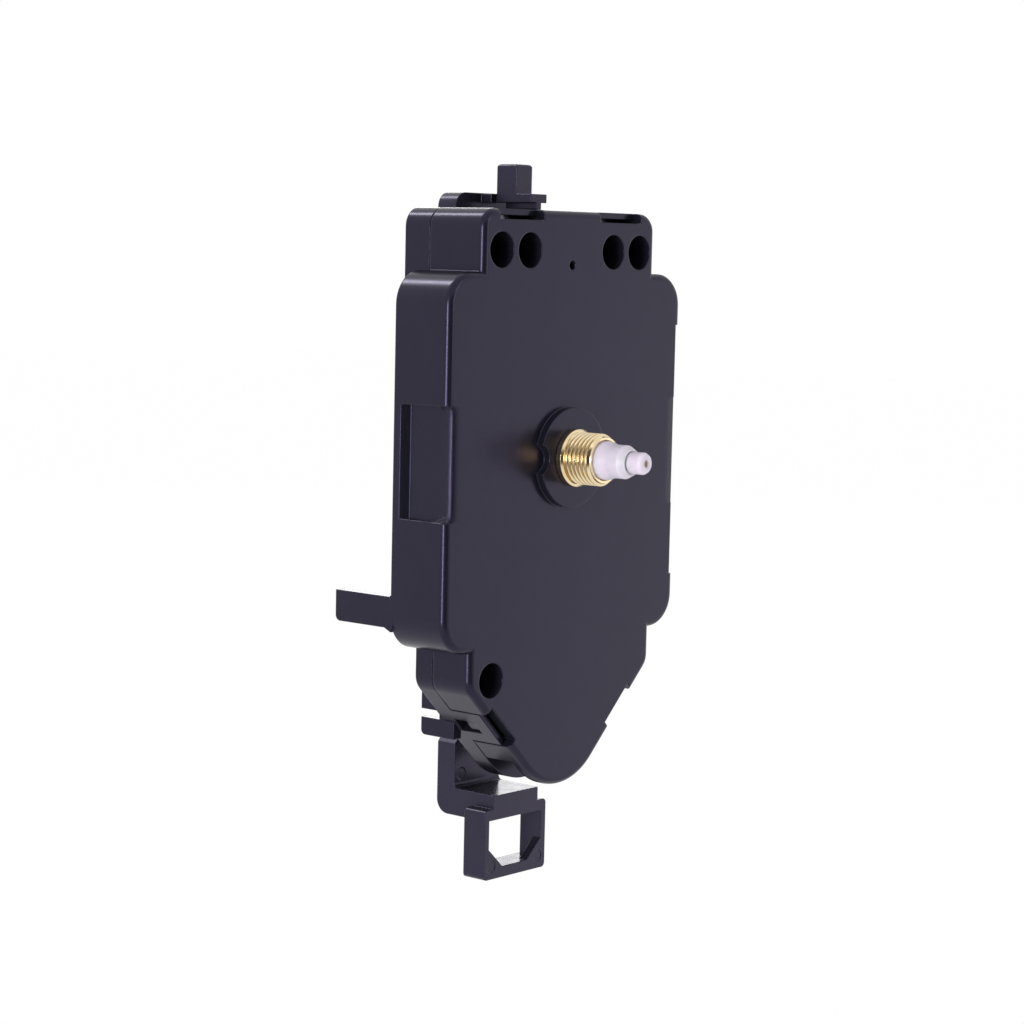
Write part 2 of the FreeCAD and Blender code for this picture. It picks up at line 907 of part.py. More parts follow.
def add_cover_plate(body, cover_front):
    side = cavity_x - s.fit_gap
    top = s.block_top - s.case_wall - s.fit_gap
    bottom = s.block_bottom - s.case_wall - s.fit_gap
    neck_top = s.head_half_width - s.case_wall - s.fit_gap
    neck_bottom = s.foot_half_width - s.case_wall - s.fit_gap
    neck_end = s.block_top + s.fit_gap
    foot_end = s.block_bottom + s.seam_gap + s.fit_gap
    pad(body, FRONT_PLANE, plate_front, cover_front - plate_front, BACK, polygon(
        (-side, top),
        (-side, -bottom),
        (-neck_bottom, -bottom),
        (-neck_bottom, -foot_end),
        (neck_bottom, -foot_end),
        (neck_bottom, -bay_bottom),
        (s.bay_left, -bay_bottom),
        (s.bay_left, bay_top),
        (neck_top, bay_top),
        (neck_top, neck_end),
        (-neck_top, neck_end),
        (-neck_top, top),
    ))
    round_edges(body, s.block_corner - s.case_wall - s.fit_gap, edges_along_depth((-side, top), (-side, -bottom)))
    pocket_clear = s.block_half_width - s.pocket_depth - s.pocket_wall - s.fit_gap
    pocket_reach = s.pocket_half + s.pocket_wall + s.fit_gap
    leg_clear = s.block_half_width - s.leg_thickness - s.fit_gap
    pocket(body, FRONT_PLANE, plate_front, cover_front - plate_front, BACK,
           rectangle(-(side + s.overrun), -pocket_clear, -pocket_reach, pocket_reach),
           rectangle(-(side + s.overrun), -leg_clear, -(s.leg_bottom + s.leg_web_drop + s.fit_gap),
                     -(s.leg_top - s.leg_root_round - s.fit_gap)))


def add_cover_foot(body, cover_front):
    foot_front = s.foot_seam + s.seam_gap
    foot_top = s.block_bottom + s.seam_gap
    foot_corner, point = foot_points(0)
    pad(body, FRONT_PLANE, foot_front, cover_front - foot_front, BACK, polygon(*both_sides([
        (s.foot_half_width, -foot_top), foot_corner, point])))
    round_edges(body, s.foot_corner, edges_along_depth(*mirrored(*foot_corner)))
    round_edges(body, s.lobe_radius, edges_along_depth(point))
    inner_corner, inner_point = foot_points(s.cover_wall)
    lobe_edge = s.lobe_recess_top
    half = inner_point[1] + lobe_edge
    pocket(body, FRONT_PLANE, foot_front - s.fit_gap, plate_front - foot_front + s.fit_gap, BACK, polygon(*both_sides([
        (s.foot_half_width - s.cover_wall, -(foot_top - s.overrun)),
        inner_corner,
        (-half, -lobe_edge),
    ])))


def add_cover_box(body, cover_front):
    head = s.head_half_width
    pad(body, FRONT_PLANE, cover_front, s.cover_depth - cover_front, BACK, polygon(
        (-head, s.head_top),
        (-head, s.box_shoulder),
        (-s.box_left, s.box_shoulder),
        (-s.box_left, -s.box_bottom),
        (s.bay_left, -s.box_bottom),
        (s.bay_left, bay_top),
        (head, bay_top),
        (head, s.head_top),
    ))
    round_edges(body, s.head_corner, edges_along_depth((-head, s.head_top), (head, s.head_top)))
    round_edges(body, s.box_corner, edges_along_depth((-s.box_left, -s.box_bottom)))


# The divider and the two end walls of the battery bay reach forward to the front wall
def add_bay_walls(body):
    start = s.front_wall + s.bay_front_gap
    top_end = s.head_half_width - s.case_wall - s.fit_gap * 2
    bottom_end = s.foot_half_width - s.case_wall - s.fit_gap * 2
    left = s.bay_left - s.bay_divider
    pad(body, FRONT_PLANE, start, plate_front - start + s.fit_gap, BACK, polygon(
        (left, bay_top + s.bay_end_wall),
        (left, -(bay_bottom + s.bay_divider)),
        (bottom_end, -(bay_bottom + s.bay_divider)),
        (bottom_end, -bay_bottom),
        (s.bay_left, -bay_bottom),
        (s.bay_left, bay_top),
        (top_end, bay_top),
        (top_end, bay_top + s.bay_end_wall),
    ))


def hollow_cover(body):
    head = s.head_half_width - s.cover_wall
    left = s.box_left - s.cover_wall
    pocket(body, FRONT_PLANE, plate_front, cover_back_inside - plate_front, BACK, polygon(
        (-head, s.head_top - s.cover_wall),
        (-head, s.box_shoulder - s.cover_wall),
        (-left, s.box_shoulder - s.cover_wall),
        (-left, -(s.box_bottom - s.cover_wall)),
        (s.bay_left - s.bay_divider, -(s.box_bottom - s.cover_wall)),
        (s.bay_left - s.bay_divider, s.block_top),
        (head, s.block_top),
        (head, s.head_top - s.cover_wall),
    ))


# Four short posts meet the ends of the case's hole posts, and so seat the cover
def add_cover_posts(body):
    pad(body, FRONT_PLANE, plate_front, cover_back_inside - plate_front + s.fit_gap, BACK,
        *squares(blind_holes()[:-1], s.cover_post_half))


def add_straps(body, cover_front):
    inset = s.strap_side_gap
    for side in (LEFT, RIGHT):
        pad(body, FRONT_PLANE, s.strap_front, cover_front - s.strap_front + s.cover_wall, BACK, rectangle(
            (s.top_channel_inner + inset) * side, (s.top_channel_outer - inset) * side,
            s.head_top - s.strap_thickness, s.head_top))
        pad(body, FRONT_PLANE, s.strap_front, plate_front - s.strap_front, BACK, slant_strip(
            side, s.slant_channel_inner + inset, s.slant_channel_outer - inset, 0, s.strap_thickness))
    margin = inset + s.window_margin
    slant_margin = inset + s.slant_window_margin
    for side in (LEFT, RIGHT):
        pocket(body, FRONT_PLANE, s.window_front, s.window_back - s.window_front, BACK, rectangle(
            (s.top_channel_inner + margin) * side, (s.top_channel_outer - margin) * side,
            s.head_top - s.channel_depth, s.head_top + s.overrun))
        pocket(body, FRONT_PLANE, s.window_front, s.window_back - s.window_front, BACK, slant_strip(
            side, s.slant_channel_inner + slant_margin, s.slant_channel_outer - slant_margin,
            s.overrun, s.channel_depth))


# Each pair of tabs is split by a slot, and the lower one is rooted forward on the slanted wall
def add_fork_tabs(body, cover_front):
    for side in (LEFT, RIGHT):
        pad(body, SIDE_PLANE, s.fork_outer * side, s.fork_thickness, -side, polygon(
            (s.fork_root_front, -s.fork_bottom),
            (s.fork_root_front, -s.fork_slot_bottom),
            (cover_front - s.fit_gap, -s.fork_slot_bottom),
            (cover_front - s.fit_gap, -s.fork_top),
            (s.fork_end, -s.fork_top),
            (s.fork_end, -s.fork_slot_top),
            (s.fork_slot_start, -s.fork_slot_top),
            (s.fork_slot_start, -s.fork_slot_bottom),
            (s.fork_end, -s.fork_slot_bottom),
            (s.fork_end, -s.fork_bottom),
        ))
    round_edges(body, s.fork_round, edges_across((s.fork_end, -s.fork_bottom)))


def cut_knife_notch(body, cover_front):
    pocket(body, FRONT_PLANE, cover_front - s.overrun, s.cover_depth, BACK, polygon(
        (-s.notch_half_width, s.head_top + s.overrun),
        (-s.notch_half_width, s.head_top),
        (as_size(0), s.knife_tip - s.notch_floor_gap),
        (s.notch_half_width, s.head_top),
        (s.notch_half_width, s.head_top + s.overrun),
    ))


# A turned piece: its half section is drawn as depth and radius, and revolved about the hand axis
def turned(label, *section):
    body = new_body(label)
    feature = body.newObject("PartDesign::Revolution", label + "_turned")
    sketch = new_sketch(body, SIDE_PLANE, 0, [polygon(*section)])
    feature.Profile = sketch
    feature.ReferenceAxis = (sketch, ["H_Axis"])
    feature.Angle = 360
    doc.recompute()
    return body


def make_bush():
    pad_front = -s.pad_height
    collar_front = pad_front - s.collar_length
    front = collar_front - s.thread_length
    turned(
        "hand_shaft_bush",
        (front, s.bush_bore),
        (front, s.thread_radius - s.bush_chamfer),
        (front + s.bush_chamfer, s.thread_radius),
        (collar_front, s.thread_radius),
        (collar_front, s.collar_radius - s.collar_chamfer),
        (collar_front + s.collar_chamfer, s.collar_radius),
        (pad_front, s.collar_radius),
        (pad_front, s.thread_radius),
        (s.front_wall, s.thread_radius),
        (s.front_wall, s.flange_radius),
        (bush_flange_back, s.flange_radius),
        (bush_flange_back, s.bush_bore),
    )


# The plate that carries the rear pivots of the motion work and the front pivots of the reduction wheels
def make_train_plate():
    body = new_body("train_plate")
    rim = s.post_half
    left, right = s.left_post_x + rim, s.right_post_x + rim
    top, bottom = s.upper_post_height + rim, s.lower_post_drop + rim
    level = s.train_plate_level
    pad(body, FRONT_PLANE, level, s.train_plate_thickness, BACK, polygon(
        (-left, top), (-left, -bottom), (right, -bottom), (right, top - right), (as_size(0), top)))
    pillars = [(-pillar_x, s.upper_post_height), (-pillar_x, s.stator_pillar_low)]
    back = level + s.train_plate_thickness
    pad(body, FRONT_PLANE, back - s.fit_gap, s.stator_level - back + s.fit_gap, BACK,
        *squares(pillars, s.stator_pillar_half))
    small = [INTERMEDIATE_ARBOR, ROTOR_ARBOR, THIRD_ARBOR]
    pocket(body, FRONT_PLANE, level - s.overrun, s.train_plate_thickness + s.overrun * 2, BACK,
           *circles(small, s.arbor_radius + s.running_gap),
           circle(0, 0, s.minute_bore),
           circle(SETTING_ARBOR[0], SETTING_ARBOR[1], s.set_arbor_radius + s.running_gap))


# The bridge lies on the cover's inner face and carries the rear pivots
def make_rear_bridge():
    body = new_body("rear_bridge")
    rim = s.bridge_rim
    low = -rim
    high = THIRD_ARBOR[1] + rim
    left = ROTOR_ARBOR[0] - rim
    pad(body, FRONT_PLANE, cover_back_inside - s.bridge_thickness, s.bridge_thickness, BACK, polygon(
        (left, high), (left, low - rim), (as_size(0) + rim, low - rim), (as_size(0) + rim, high)))
    pocket(body, FRONT_PLANE, cover_back_inside - s.bridge_thickness, s.bridge_thickness, BACK,
           *circles([INTERMEDIATE_ARBOR, ROTOR_ARBOR, THIRD_ARBOR], s.arbor_radius + s.running_gap),
           circle(0, 0, s.minute_bore))


def make_motor():
    body = new_body("motor_stator")
    level = s.stator_level
    top = ROTOR_ARBOR[1] + s.stator_half_height
    bottom = ROTOR_ARBOR[1] - s.stator_half_height
    core_top = s.core_bottom + s.core_height
    left, right = -s.stator_left, -s.stator_right
    pad(body, FRONT_PLANE, level, s.stator_thickness, BACK, polygon(
        (left, core_top), (left, bottom), (right, bottom), (right, core_top),
        (right - s.stator_arm, core_top), (right - s.stator_arm, top),
        (left + s.stator_arm, top), (left + s.stator_arm, core_top)))
    pocket(body, FRONT_PLANE, level, s.stator_thickness, BACK,
           circle(ROTOR_ARBOR[0], ROTOR_ARBOR[1], s.rotor_magnet_radius + s.stator_gap))
    pocket(body, FRONT_PLANE, level, s.stator_thickness, BACK,
           circle(INTERMEDIATE_ARBOR[0], INTERMEDIATE_ARBOR[1], s.stator_notch))
    core = new_body("coil_core")
    core_front = level + s.stator_thickness
    pad(core, FRONT_PLANE, core_front, s.core_thickness, BACK, rectangle(left, right, s.core_bottom, core_top))
    make_motor_coil(left + s.stator_arm + s.coil_gap, right - s.stator_arm - s.coil_gap, core_front, core_top)


def make_motor_coil(left, right, core_front, core_top):
    depth = core_front + s.core_thickness / 2
    height = (s.core_bottom + core_top) / 2
    length = right - left
    flange = s.bobbin_flange
    bobbin = new_body("motor_coil_bobbin")
    pad(bobbin, SIDE_PLANE, left, length, RIGHT, circle(depth, height, s.barrel_radius))
    pad(bobbin, SIDE_PLANE, left, flange, RIGHT, circle(depth, height, s.bobbin_flange_radius))
    pad(bobbin, SIDE_PLANE, right, flange, LEFT, circle(depth, height, s.bobbin_flange_radius))
    pocket(bobbin, SIDE_PLANE, left - s.overrun, length + s.overrun * 2, RIGHT, rectangle(
        core_front - s.fit_gap, core_front + s.core_thickness + s.fit_gap,
        s.core_bottom - s.fit_gap, core_top + s.fit_gap))
    winding = new_body("motor_coil_winding")
    pad(winding, SIDE_PLANE, left + flange, length - flange * 2, RIGHT,
        circle(depth, height, s.winding_radius), circle(depth, height, s.barrel_radius + s.running_gap))


def make_board():
    body = new_body("circuit_board")
    back = s.board_level + s.board_thickness
    pad(body, FRONT_PLANE, s.board_level, s.board_thickness, BACK,
        rectangle(-s.board_left, s.board_right, -s.board_bottom, -s.board_top))
    crystal = new_body("quartz_crystal")
    pad(crystal, SIDE_PLANE, s.crystal_x, s.crystal_length, LEFT,
        circle(back + s.crystal_radius, -s.crystal_height, s.crystal_radius))
    chip = new_body("chip_blob")
    blob = pad(chip, FRONT_PLANE, back, s.chip_rise, BACK, circle(-s.chip_x, -s.chip_height, s.chip_radius))
    blob.TaperAngle = CHIP_TAPER


def make_drive_coil():
    back = plate_front
    front = back - s.drive_length
    place = (as_size(0), -s.drive_height)
    bobbin = new_body("drive_coil_bobbin")
    pad(bobbin, FRONT_PLANE, front, s.drive_length, BACK, circle(*place, s.drive_core_radius))
    pad(bobbin, FRONT_PLANE, front, s.drive_flange, BACK, circle(*place, s.drive_flange_radius))
    pad(bobbin, FRONT_PLANE, back, s.drive_flange, FORWARD, circle(*place, s.drive_flange_radius))
    winding = new_body("drive_coil_winding")
    pad(winding, FRONT_PLANE, front + s.drive_flange, s.drive_length - s.drive_flange * 2, BACK,
        circle(*place, s.drive_winding_radius), circle(*place, s.drive_core_radius + s.running_gap))


# Battery contacts: a plate at each end of the bay, one with a button and one with a stepped spring
def make_contacts():
    for label, level, inward, rises in (
            ("battery_contact_plus", s.block_top - s.case_wall, LEFT, [(s.bump_rise, s.bump_radius)]),
            ("battery_contact_minus", -(s.block_bottom - s.case_wall), RIGHT,
             [(s.bump_rise, s.bump_radius), (s.spring_rise, s.spring_tip_radius)])):
        body = new_body(label)
        pad(body, TOP_PLANE, level, s.contact_thickness, inward, rectangle(
            s.contact_left, s.contact_right, s.contact_front, s.contact_back))
        x = (s.contact_left + s.contact_right) / 2
        y = (s.contact_front + s.contact_back) / 2
        for rise, radius in rises:
            pad(body, TOP_PLANE, level, s.contact_thickness + rise, inward, circle(x, y, radius))


# Wheels. Each tooth is a straight-sided wedge, so a pair meshes with a little play
def tooth_points(place, module, teeth, phase):
    pitch = 2 * math.pi / teeth
    pitch_radius = module.value * teeth / 2
    tip = pitch_radius + module.value * s.addendum_share.value
    root = pitch_radius - module.value * s.dedendum_share.value
    tip_half = s.tooth_tip_share.value * pitch / 2
    slope = (s.tooth_share.value - s.tooth_tip_share.value) / s.addendum_share.value
    root_half = (s.tooth_share.value + slope * s.dedendum_share.value) * pitch / 2
    points = []
    for number in range(teeth):
        middle = phase + number * pitch
        for radius, offset in ((root, -root_half), (tip, -tip_half), (tip, tip_half), (root, root_half)):
            angle = middle + offset
            points.append((place[0].value + radius * math.cos(angle), place[1].value + radius * math.sin(angle)))
    return points


def toothed(place, level, face, module, teeth, phase):
    depth = as_size(level).value
    points = [FreeCAD.Vector(x, depth, z) for x, z in tooth_points(place, module, teeth, phase)]
    outline = Part.makePolygon(points + points[:1])
    return Part.Face(outline).extrude(FreeCAD.Vector(0, as_size(face).value, 0))


def cylinder(place, start, end, radius):
    start, end = as_size(start), as_size(end)
    return Part.makeCylinder(
        as_size(radius).value, end.value - start.value, vector(place[0], start, place[1]), FreeCAD.Vector(0, 1, 0))


def joined(shapes):
    return shapes[0].multiFuse(shapes[1:]).removeSplitter()


# The tooth angle of a driven wheel, so that a gap of it faces a tooth of its driver
def meshed(direction_degrees, driver_phase, driver_teeth, teeth):
    direction = math.radians(direction_degrees)
    share = ((direction - driver_phase) * driver_teeth / (2 * math.pi)) % 1
    return direction + math.pi + (share + HALF) * 2 * math.pi / teeth


# The hour wheel's tube is drawn as a half section and turned; the tube carries the hour hand's seat
def make_hour_wheel():
    back = s.hour_level + s.wheel_face
    section = [
        (back, s.hour_bore),
        (-s.hour_nose_end, s.hour_bore),
        (-s.hour_nose_end, s.hour_nose_radius),
        (-s.hour_seat_end, s.hour_seat_radius),
        (-s.hour_seat_start, s.hour_seat_radius),
        (-s.hour_step_start, s.hour_tube_radius),
        (back, s.hour_tube_radius),
    ]
    wheel = toothed(CENTRE, s.hour_level, s.wheel_face, s.hour_module, HOUR_TEETH, 0)
    bored = wheel.cut(cylinder(CENTRE, s.hour_level - s.overrun, back + s.overrun, s.hour_bore))
    new_feature("hour_wheel", joined([bored, revolved(section)]))


def revolved(section):
    points = [vector(0, depth, radius) for depth, radius in section]
    outline = Part.makePolygon(points + points[:1])
    return Part.Face(outline).revolve(FreeCAD.Vector(0, 0, 0), FreeCAD.Vector(0, 1, 0), FULL_TURN)


def make_motion_wheel():
    phase = meshed(MOTION_ANGLE, 0, CANNON_TEETH, MOTION_TEETH)
    pinion_phase = meshed(MOTION_ANGLE, 0, HOUR_TEETH, MOTION_PINION_TEETH)
    back = s.motion_level + s.wheel_face
    new_feature("motion_wheel", joined([
        toothed(MOTION_ARBOR, s.motion_level, s.wheel_face, s.motion_module, MOTION_TEETH, phase),
        toothed(MOTION_ARBOR, s.hour_level, s.motion_level - s.hour_level, s.hour_module,
                MOTION_PINION_TEETH, pinion_phase),
        cylinder(MOTION_ARBOR, s.front_wall + s.fit_gap, back + s.hub_gap, s.arbor_radius),
    ]))
    return phase


def make_minute_wheel():
    tip = -s.minute_tube_end
    radius = s.minute_tube_radius
    back = s.minute_level + s.wheel_face
    section = [
        (back, s.minute_bore),
        (tip, s.minute_bore),
        (tip, radius - s.minute_tip_round),
        (tip + s.minute_tip_round / 3, radius - s.minute_tip_round / 3),
        (tip + s.minute_tip_round, radius),
        (-s.minute_seat_start, radius),
        (-s.minute_seat_start, s.minute_neck_radius),
        (-s.minute_neck_start, s.minute_neck_radius),
        (-s.minute_neck_start, radius),
        (s.motion_level - s.hub_gap, radius),
        (s.motion_level - s.hub_gap, s.wheel_hub_radius),
        (back, s.wheel_hub_radius),
    ]
    solid = joined([
        toothed(CENTRE, s.minute_level, s.wheel_face, s.minute_module, MINUTE_TEETH, 0),
        toothed(CENTRE, s.motion_level, s.minute_level - s.motion_level, s.motion_module, CANNON_TEETH, 0),
    ])
    bored = solid.cut(cylinder(CENTRE, tip, back + s.overrun, s.minute_bore))
    new_feature("minute_wheel", joined([bored, revolved(section)]))


def make_third_wheel():
    pinion_front = s.minute_level - s.hub_gap
    pinion_back = s.minute_level + s.wheel_face + s.hub_gap
    new_feature("third_wheel", joined([
        toothed(THIRD_ARBOR, s.third_level, s.wheel_face, s.seconds_pinion_module, THIRD_TEETH,
                meshed(THIRD_ANGLE, 0, SECONDS_PINION_TEETH, THIRD_TEETH)),
        toothed(THIRD_ARBOR, pinion_front, pinion_back - pinion_front, s.minute_module, THIRD_PINION_TEETH,
                meshed(THIRD_ANGLE, 0, MINUTE_TEETH, THIRD_PINION_TEETH)),
        cylinder(THIRD_ARBOR, s.front_wall + s.fit_gap, rear_pivot, s.arbor_radius),
    ]))


def make_seconds_wheel():
    new_feature("seconds_wheel", joined([
        toothed(CENTRE, s.seconds_level, s.wheel_face, s.intermediate_module, SECONDS_TEETH, 0),
        toothed(CENTRE, s.third_level, s.seconds_level - s.third_level, s.seconds_pinion_module,
                SECONDS_PINION_TEETH, 0),
        cylinder(CENTRE, -(s.minute_tube_end - s.seconds_tip_inset), rear_pivot, s.seconds_arbor_radius),
    ]))


def make_intermediate_wheel():
    new_feature("intermediate_wheel", joined([
        toothed(INTERMEDIATE_ARBOR, s.intermediate_level, s.wheel_face, s.rotor_module, INTERMEDIATE_TEETH, 0),
        toothed(INTERMEDIATE_ARBOR, s.seconds_level, s.pinion_face, s.intermediate_module,
                INTERMEDIATE_PINION_TEETH,
                meshed(INTERMEDIATE_ANGLE, 0, SECONDS_TEETH, INTERMEDIATE_PINION_TEETH)),
        cylinder(INTERMEDIATE_ARBOR, s.seconds_level, s.intermediate_level + s.wheel_face + s.hub_gap, s.hub_radius),
        cylinder(INTERMEDIATE_ARBOR, front_pivot, rear_pivot, s.arbor_radius),
    ]))


def make_rotor():
    new_feature("rotor_pinion", joined([
        toothed(ROTOR_ARBOR, s.rotor_pinion_level, s.pinion_face, s.rotor_module, ROTOR_PINION_TEETH,
                meshed(ROTOR_ANGLE, 0, INTERMEDIATE_TEETH, ROTOR_PINION_TEETH)),
        cylinder(ROTOR_ARBOR, s.rotor_magnet_level - s.hub_gap, s.rotor_pinion_level, s.hub_radius),
        cylinder(ROTOR_ARBOR, front_pivot, rear_pivot, s.arbor_radius),
    ]))
    magnet = new_body("rotor_magnet")
    pad(magnet, FRONT_PLANE, s.rotor_magnet_level, s.rotor_magnet_length, BACK,
        circle(*ROTOR_ARBOR, s.rotor_magnet_radius),
        circle(*ROTOR_ARBOR, s.hub_radius + s.running_gap))


def make_setting(motion_phase):
    shaft_end = s.cover_depth + s.knob_standoff + s.knob_length - s.knob_recess
    new_feature("setting_wheel", joined([
        toothed(SETTING_ARBOR, s.motion_level, s.wheel_face, s.motion_module, SETTING_TEETH,
                meshed(SETTING_ANGLE, motion_phase, MOTION_TEETH, SETTING_TEETH)),
        cylinder(SETTING_ARBOR, s.motion_level, shaft_end, s.set_arbor_radius),
    ]))
    knob = new_body("set_knob")
    front = s.cover_depth + s.knob_standoff
    pad(knob, FRONT_PLANE, front, s.knob_length, BACK,
        ridged_outline(),
        circle(*SETTING_ARBOR, s.set_arbor_radius + s.running_gap))


# The knob's rim as a ring of pointed ridges
def ridged_outline():
    points = []
    for number in range(2 * KNOB_RIDGES):
        angle = math.pi * number / KNOB_RIDGES
        reach = s.knob_radius - s.knob_groove_depth * (number % 2)
        points.append((SETTING_ARBOR[0] + reach * math.cos(angle), SETTING_ARBOR[1] + reach * math.sin(angle)))
    return polygon(*points)


# The lever hangs on a knife edge in the cover's notch and carries the hook for the pendulum rod
def make_lever():
    body = new_body("pendulum_lever")
    pad(body, FRONT_PLANE, s.lever_front, s.lever_thickness, BACK, polygon(*both_sides([
        (s.lever_head_half, s.lever_head_top),
        (s.lever_head_half, s.lever_head_bottom),
        (s.lever_arm_half, s.lever_neck),
        (s.lever_arm_half, -s.lever_flare_top),
        (s.lever_foot_half, -s.lever_flare_bottom),
        (s.lever_foot_half, -s.shelf_bottom),
    ])))
    round_edges(body, s.lever_head_round, edges_along_depth(*mirrored(s.lever_head_half, s.lever_head_top)))
    pad(body, FRONT_PLANE, s.hook_front, s.lever_front - s.hook_front + s.fit_gap, BACK,
        rectangle(-s.lever_foot_half, s.lever_foot_half, -s.shelf_bottom, -s.shelf_top))
    lever_back = s.lever_front + s.lever_thickness
    round_edges(body, s.shelf_bend_round, edges_across((lever_back, -s.shelf_bottom)))
    round_edges(body, s.shelf_root_round, edges_across((s.lever_front, -s.shelf_top)))
    pocket(body, FRONT_PLANE, s.lever_front, s.mark_depth, BACK,
           circle(-s.plate_mark_x, -s.plate_mark_drop, s.mark_radius))
    add_hook(body)
    add_cross_piece(body)
    magnet = new_body("pendulum_magnet")
    pad(magnet, FRONT_PLANE, s.lever_front, s.magnet_thickness, FORWARD, circle(0, -s.drive_height, s.magnet_radius))


def add_hook(body):
    pad(body, FRONT_PLANE, s.hook_front, s.hook_thickness, BACK,
        rectangle(-s.hook_half_width, s.hook_half_width, -s.hook_bottom, -s.hook_top))
    round_edges(body, s.hook_corner, edges_along_depth(
        *mirrored(s.hook_half_width, -s.hook_bottom), *mirrored(s.hook_half_width, -s.hook_top)))
    inside = s.hook_half_width - s.hook_side
    window_bottom = s.hook_bottom - s.hook_bar
    pocket(body, FRONT_PLANE, s.hook_front, s.hook_thickness, BACK,
           rectangle(-inside, inside, -window_bottom, -s.hook_window_top))
    gusset_x = inside - s.hook_gusset_width
    gusset_z = window_bottom - s.hook_gusset_height
    low = window_bottom + s.fit_gap
    outer = inside + s.fit_gap
    pad(body, FRONT_PLANE, s.hook_front, s.hook_gusset_depth, BACK, *[
        polygon((gusset_x * side, -low), (outer * side, -low), (outer * side, -gusset_z),
                (inside * side, -gusset_z), (gusset_x * side, -window_bottom))
        for side in (LEFT, RIGHT)])
    pocket(body, FRONT_PLANE, s.hook_front, s.mark_depth, BACK,
           *circles(mirrored(s.hook_mark_x, -s.hook_mark_drop), s.mark_radius))


def add_cross_piece(body):
    half = s.cross_half_width
    pad(body, FRONT_PLANE, s.cross_front, s.upright_back - s.cross_front, BACK,
        rectangle(-half, half, s.cross_bottom, s.cross_top))
    pad(body, FRONT_PLANE, s.root_front, s.lever_front - s.root_front + s.fit_gap, BACK,
        rectangle(-half, half, s.cross_bottom, s.cross_top))
    pad(body, FRONT_PLANE, s.upright_back - s.fit_gap, s.root_front - s.upright_back + s.fit_gap * 2, BACK,
        rectangle(-s.web_half, s.web_half, s.cross_bottom, s.cross_top))
    pad(body, FRONT_PLANE, s.upright_front, s.upright_back - s.upright_front, BACK,
        rectangle(-half, half, s.cross_top - s.fit_gap, s.upright_top))
    round_edges(body, s.upright_round, edges_at_height(s.upright_top))
    pad(body, FRONT_PLANE, s.cross_front, s.web_back - s.cross_front, BACK, polygon(
        (-s.web_half, s.cross_bottom + s.fit_gap),
        (-s.web_half, s.knife_start),
        (-s.knife_tip_half, s.knife_tip),
        (s.knife_tip_half, s.knife_tip),
        (s.web_half, s.knife_start),
        (s.web_half, s.cross_bottom + s.fit_gap),
    ))


def export_nodes():
    doc.recompute()
    for thing in doc.Objects:
        if "Invalid" in thing.State or "Error" in thing.State:
            raise ValueError(thing.Name + " failed: " + str(thing.State))
    os.makedirs("parts", exist_ok=True)
    for node in NODES:
        shape = node.Shape
        if shape.isNull() or not shape.isValid():
            raise ValueError(node.Label + " has no valid shape")
        shape.exportStep("parts/" + node.Label + ".step")
        print(node.Label, "solids", len(shape.Solids), "volume", round(shape.Volume, 2))


make_front_case()
make_rear_cover()
make_bush()
make_train_plate()
make_rear_bridge()
make_motor()
make_board()
make_drive_coil()
make_contacts()
make_hour_wheel()
setting_phase = make_motion_wheel()
make_minute_wheel()
make_third_wheel()
make_seconds_wheel()
make_intermediate_wheel()
make_rotor()
make_setting(setting_phase)
make_lever()
export_nodes()
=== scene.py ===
"""Looks for a battery pendulum clock movement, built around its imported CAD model.

Every CAD node gets its finish. The bush's thread, the coils' wire turns and the battery spring,
which the CAD model leaves plain, are made here. A white studio shows the whole as in the photo.
"""

import logging
import math
from dataclasses import dataclass, field
from enum import Enum

import bmesh
import bpy
from mathutils import Matrix, Vector

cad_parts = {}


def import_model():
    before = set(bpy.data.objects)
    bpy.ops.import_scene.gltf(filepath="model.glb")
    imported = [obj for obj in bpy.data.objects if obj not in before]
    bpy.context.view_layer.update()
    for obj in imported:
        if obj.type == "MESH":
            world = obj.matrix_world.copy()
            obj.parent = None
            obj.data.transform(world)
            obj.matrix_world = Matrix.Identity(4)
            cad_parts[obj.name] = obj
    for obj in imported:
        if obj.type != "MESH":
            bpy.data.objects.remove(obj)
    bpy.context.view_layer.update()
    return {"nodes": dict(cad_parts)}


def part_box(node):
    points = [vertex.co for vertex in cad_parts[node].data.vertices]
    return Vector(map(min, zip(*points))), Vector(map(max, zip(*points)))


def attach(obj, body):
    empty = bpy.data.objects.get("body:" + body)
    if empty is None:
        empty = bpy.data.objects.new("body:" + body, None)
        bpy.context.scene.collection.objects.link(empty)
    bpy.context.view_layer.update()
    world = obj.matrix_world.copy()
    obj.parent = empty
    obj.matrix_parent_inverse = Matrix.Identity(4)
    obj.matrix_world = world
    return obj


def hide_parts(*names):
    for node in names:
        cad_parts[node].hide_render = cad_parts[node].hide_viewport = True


LOG = logging.getLogger("clock_movement")
MM = 0.001

Colour = tuple[float, float, float]
Point = tuple[float, float, float]
SocketValue = float | tuple[float, ...]

WHITE = (1.0, 1.0, 1.0, 1.0)

# The mottle mixes a finish's two colours, and the finer wear pattern varies its roughness.
MOTTLE_DETAIL = 3.0
MOTTLE_ENDS = (0.32, 0.72)
WEAR_DETAIL = 4.0
WEAR_SIZE_SHARE = 0.4
WEAR_ENDS = (0.3, 0.7)
GRAIN_DETAIL = 2.0
BUMP_STRENGTH = 0.35
EDGE_SAMPLES = 8

# How far light spreads inside the pale plastics.
SCATTER_SPREAD = (1.0, 0.8, 0.9)
SCATTER_MM = 1.8

# The front edge of the side pockets: on each axis, how far out its rounding starts and is full.
POCKET_EDGE_MM = (("X", 23.7, 24.3), ("Y", 2.9, 2.3), ("Z", 8.6, 8.2))


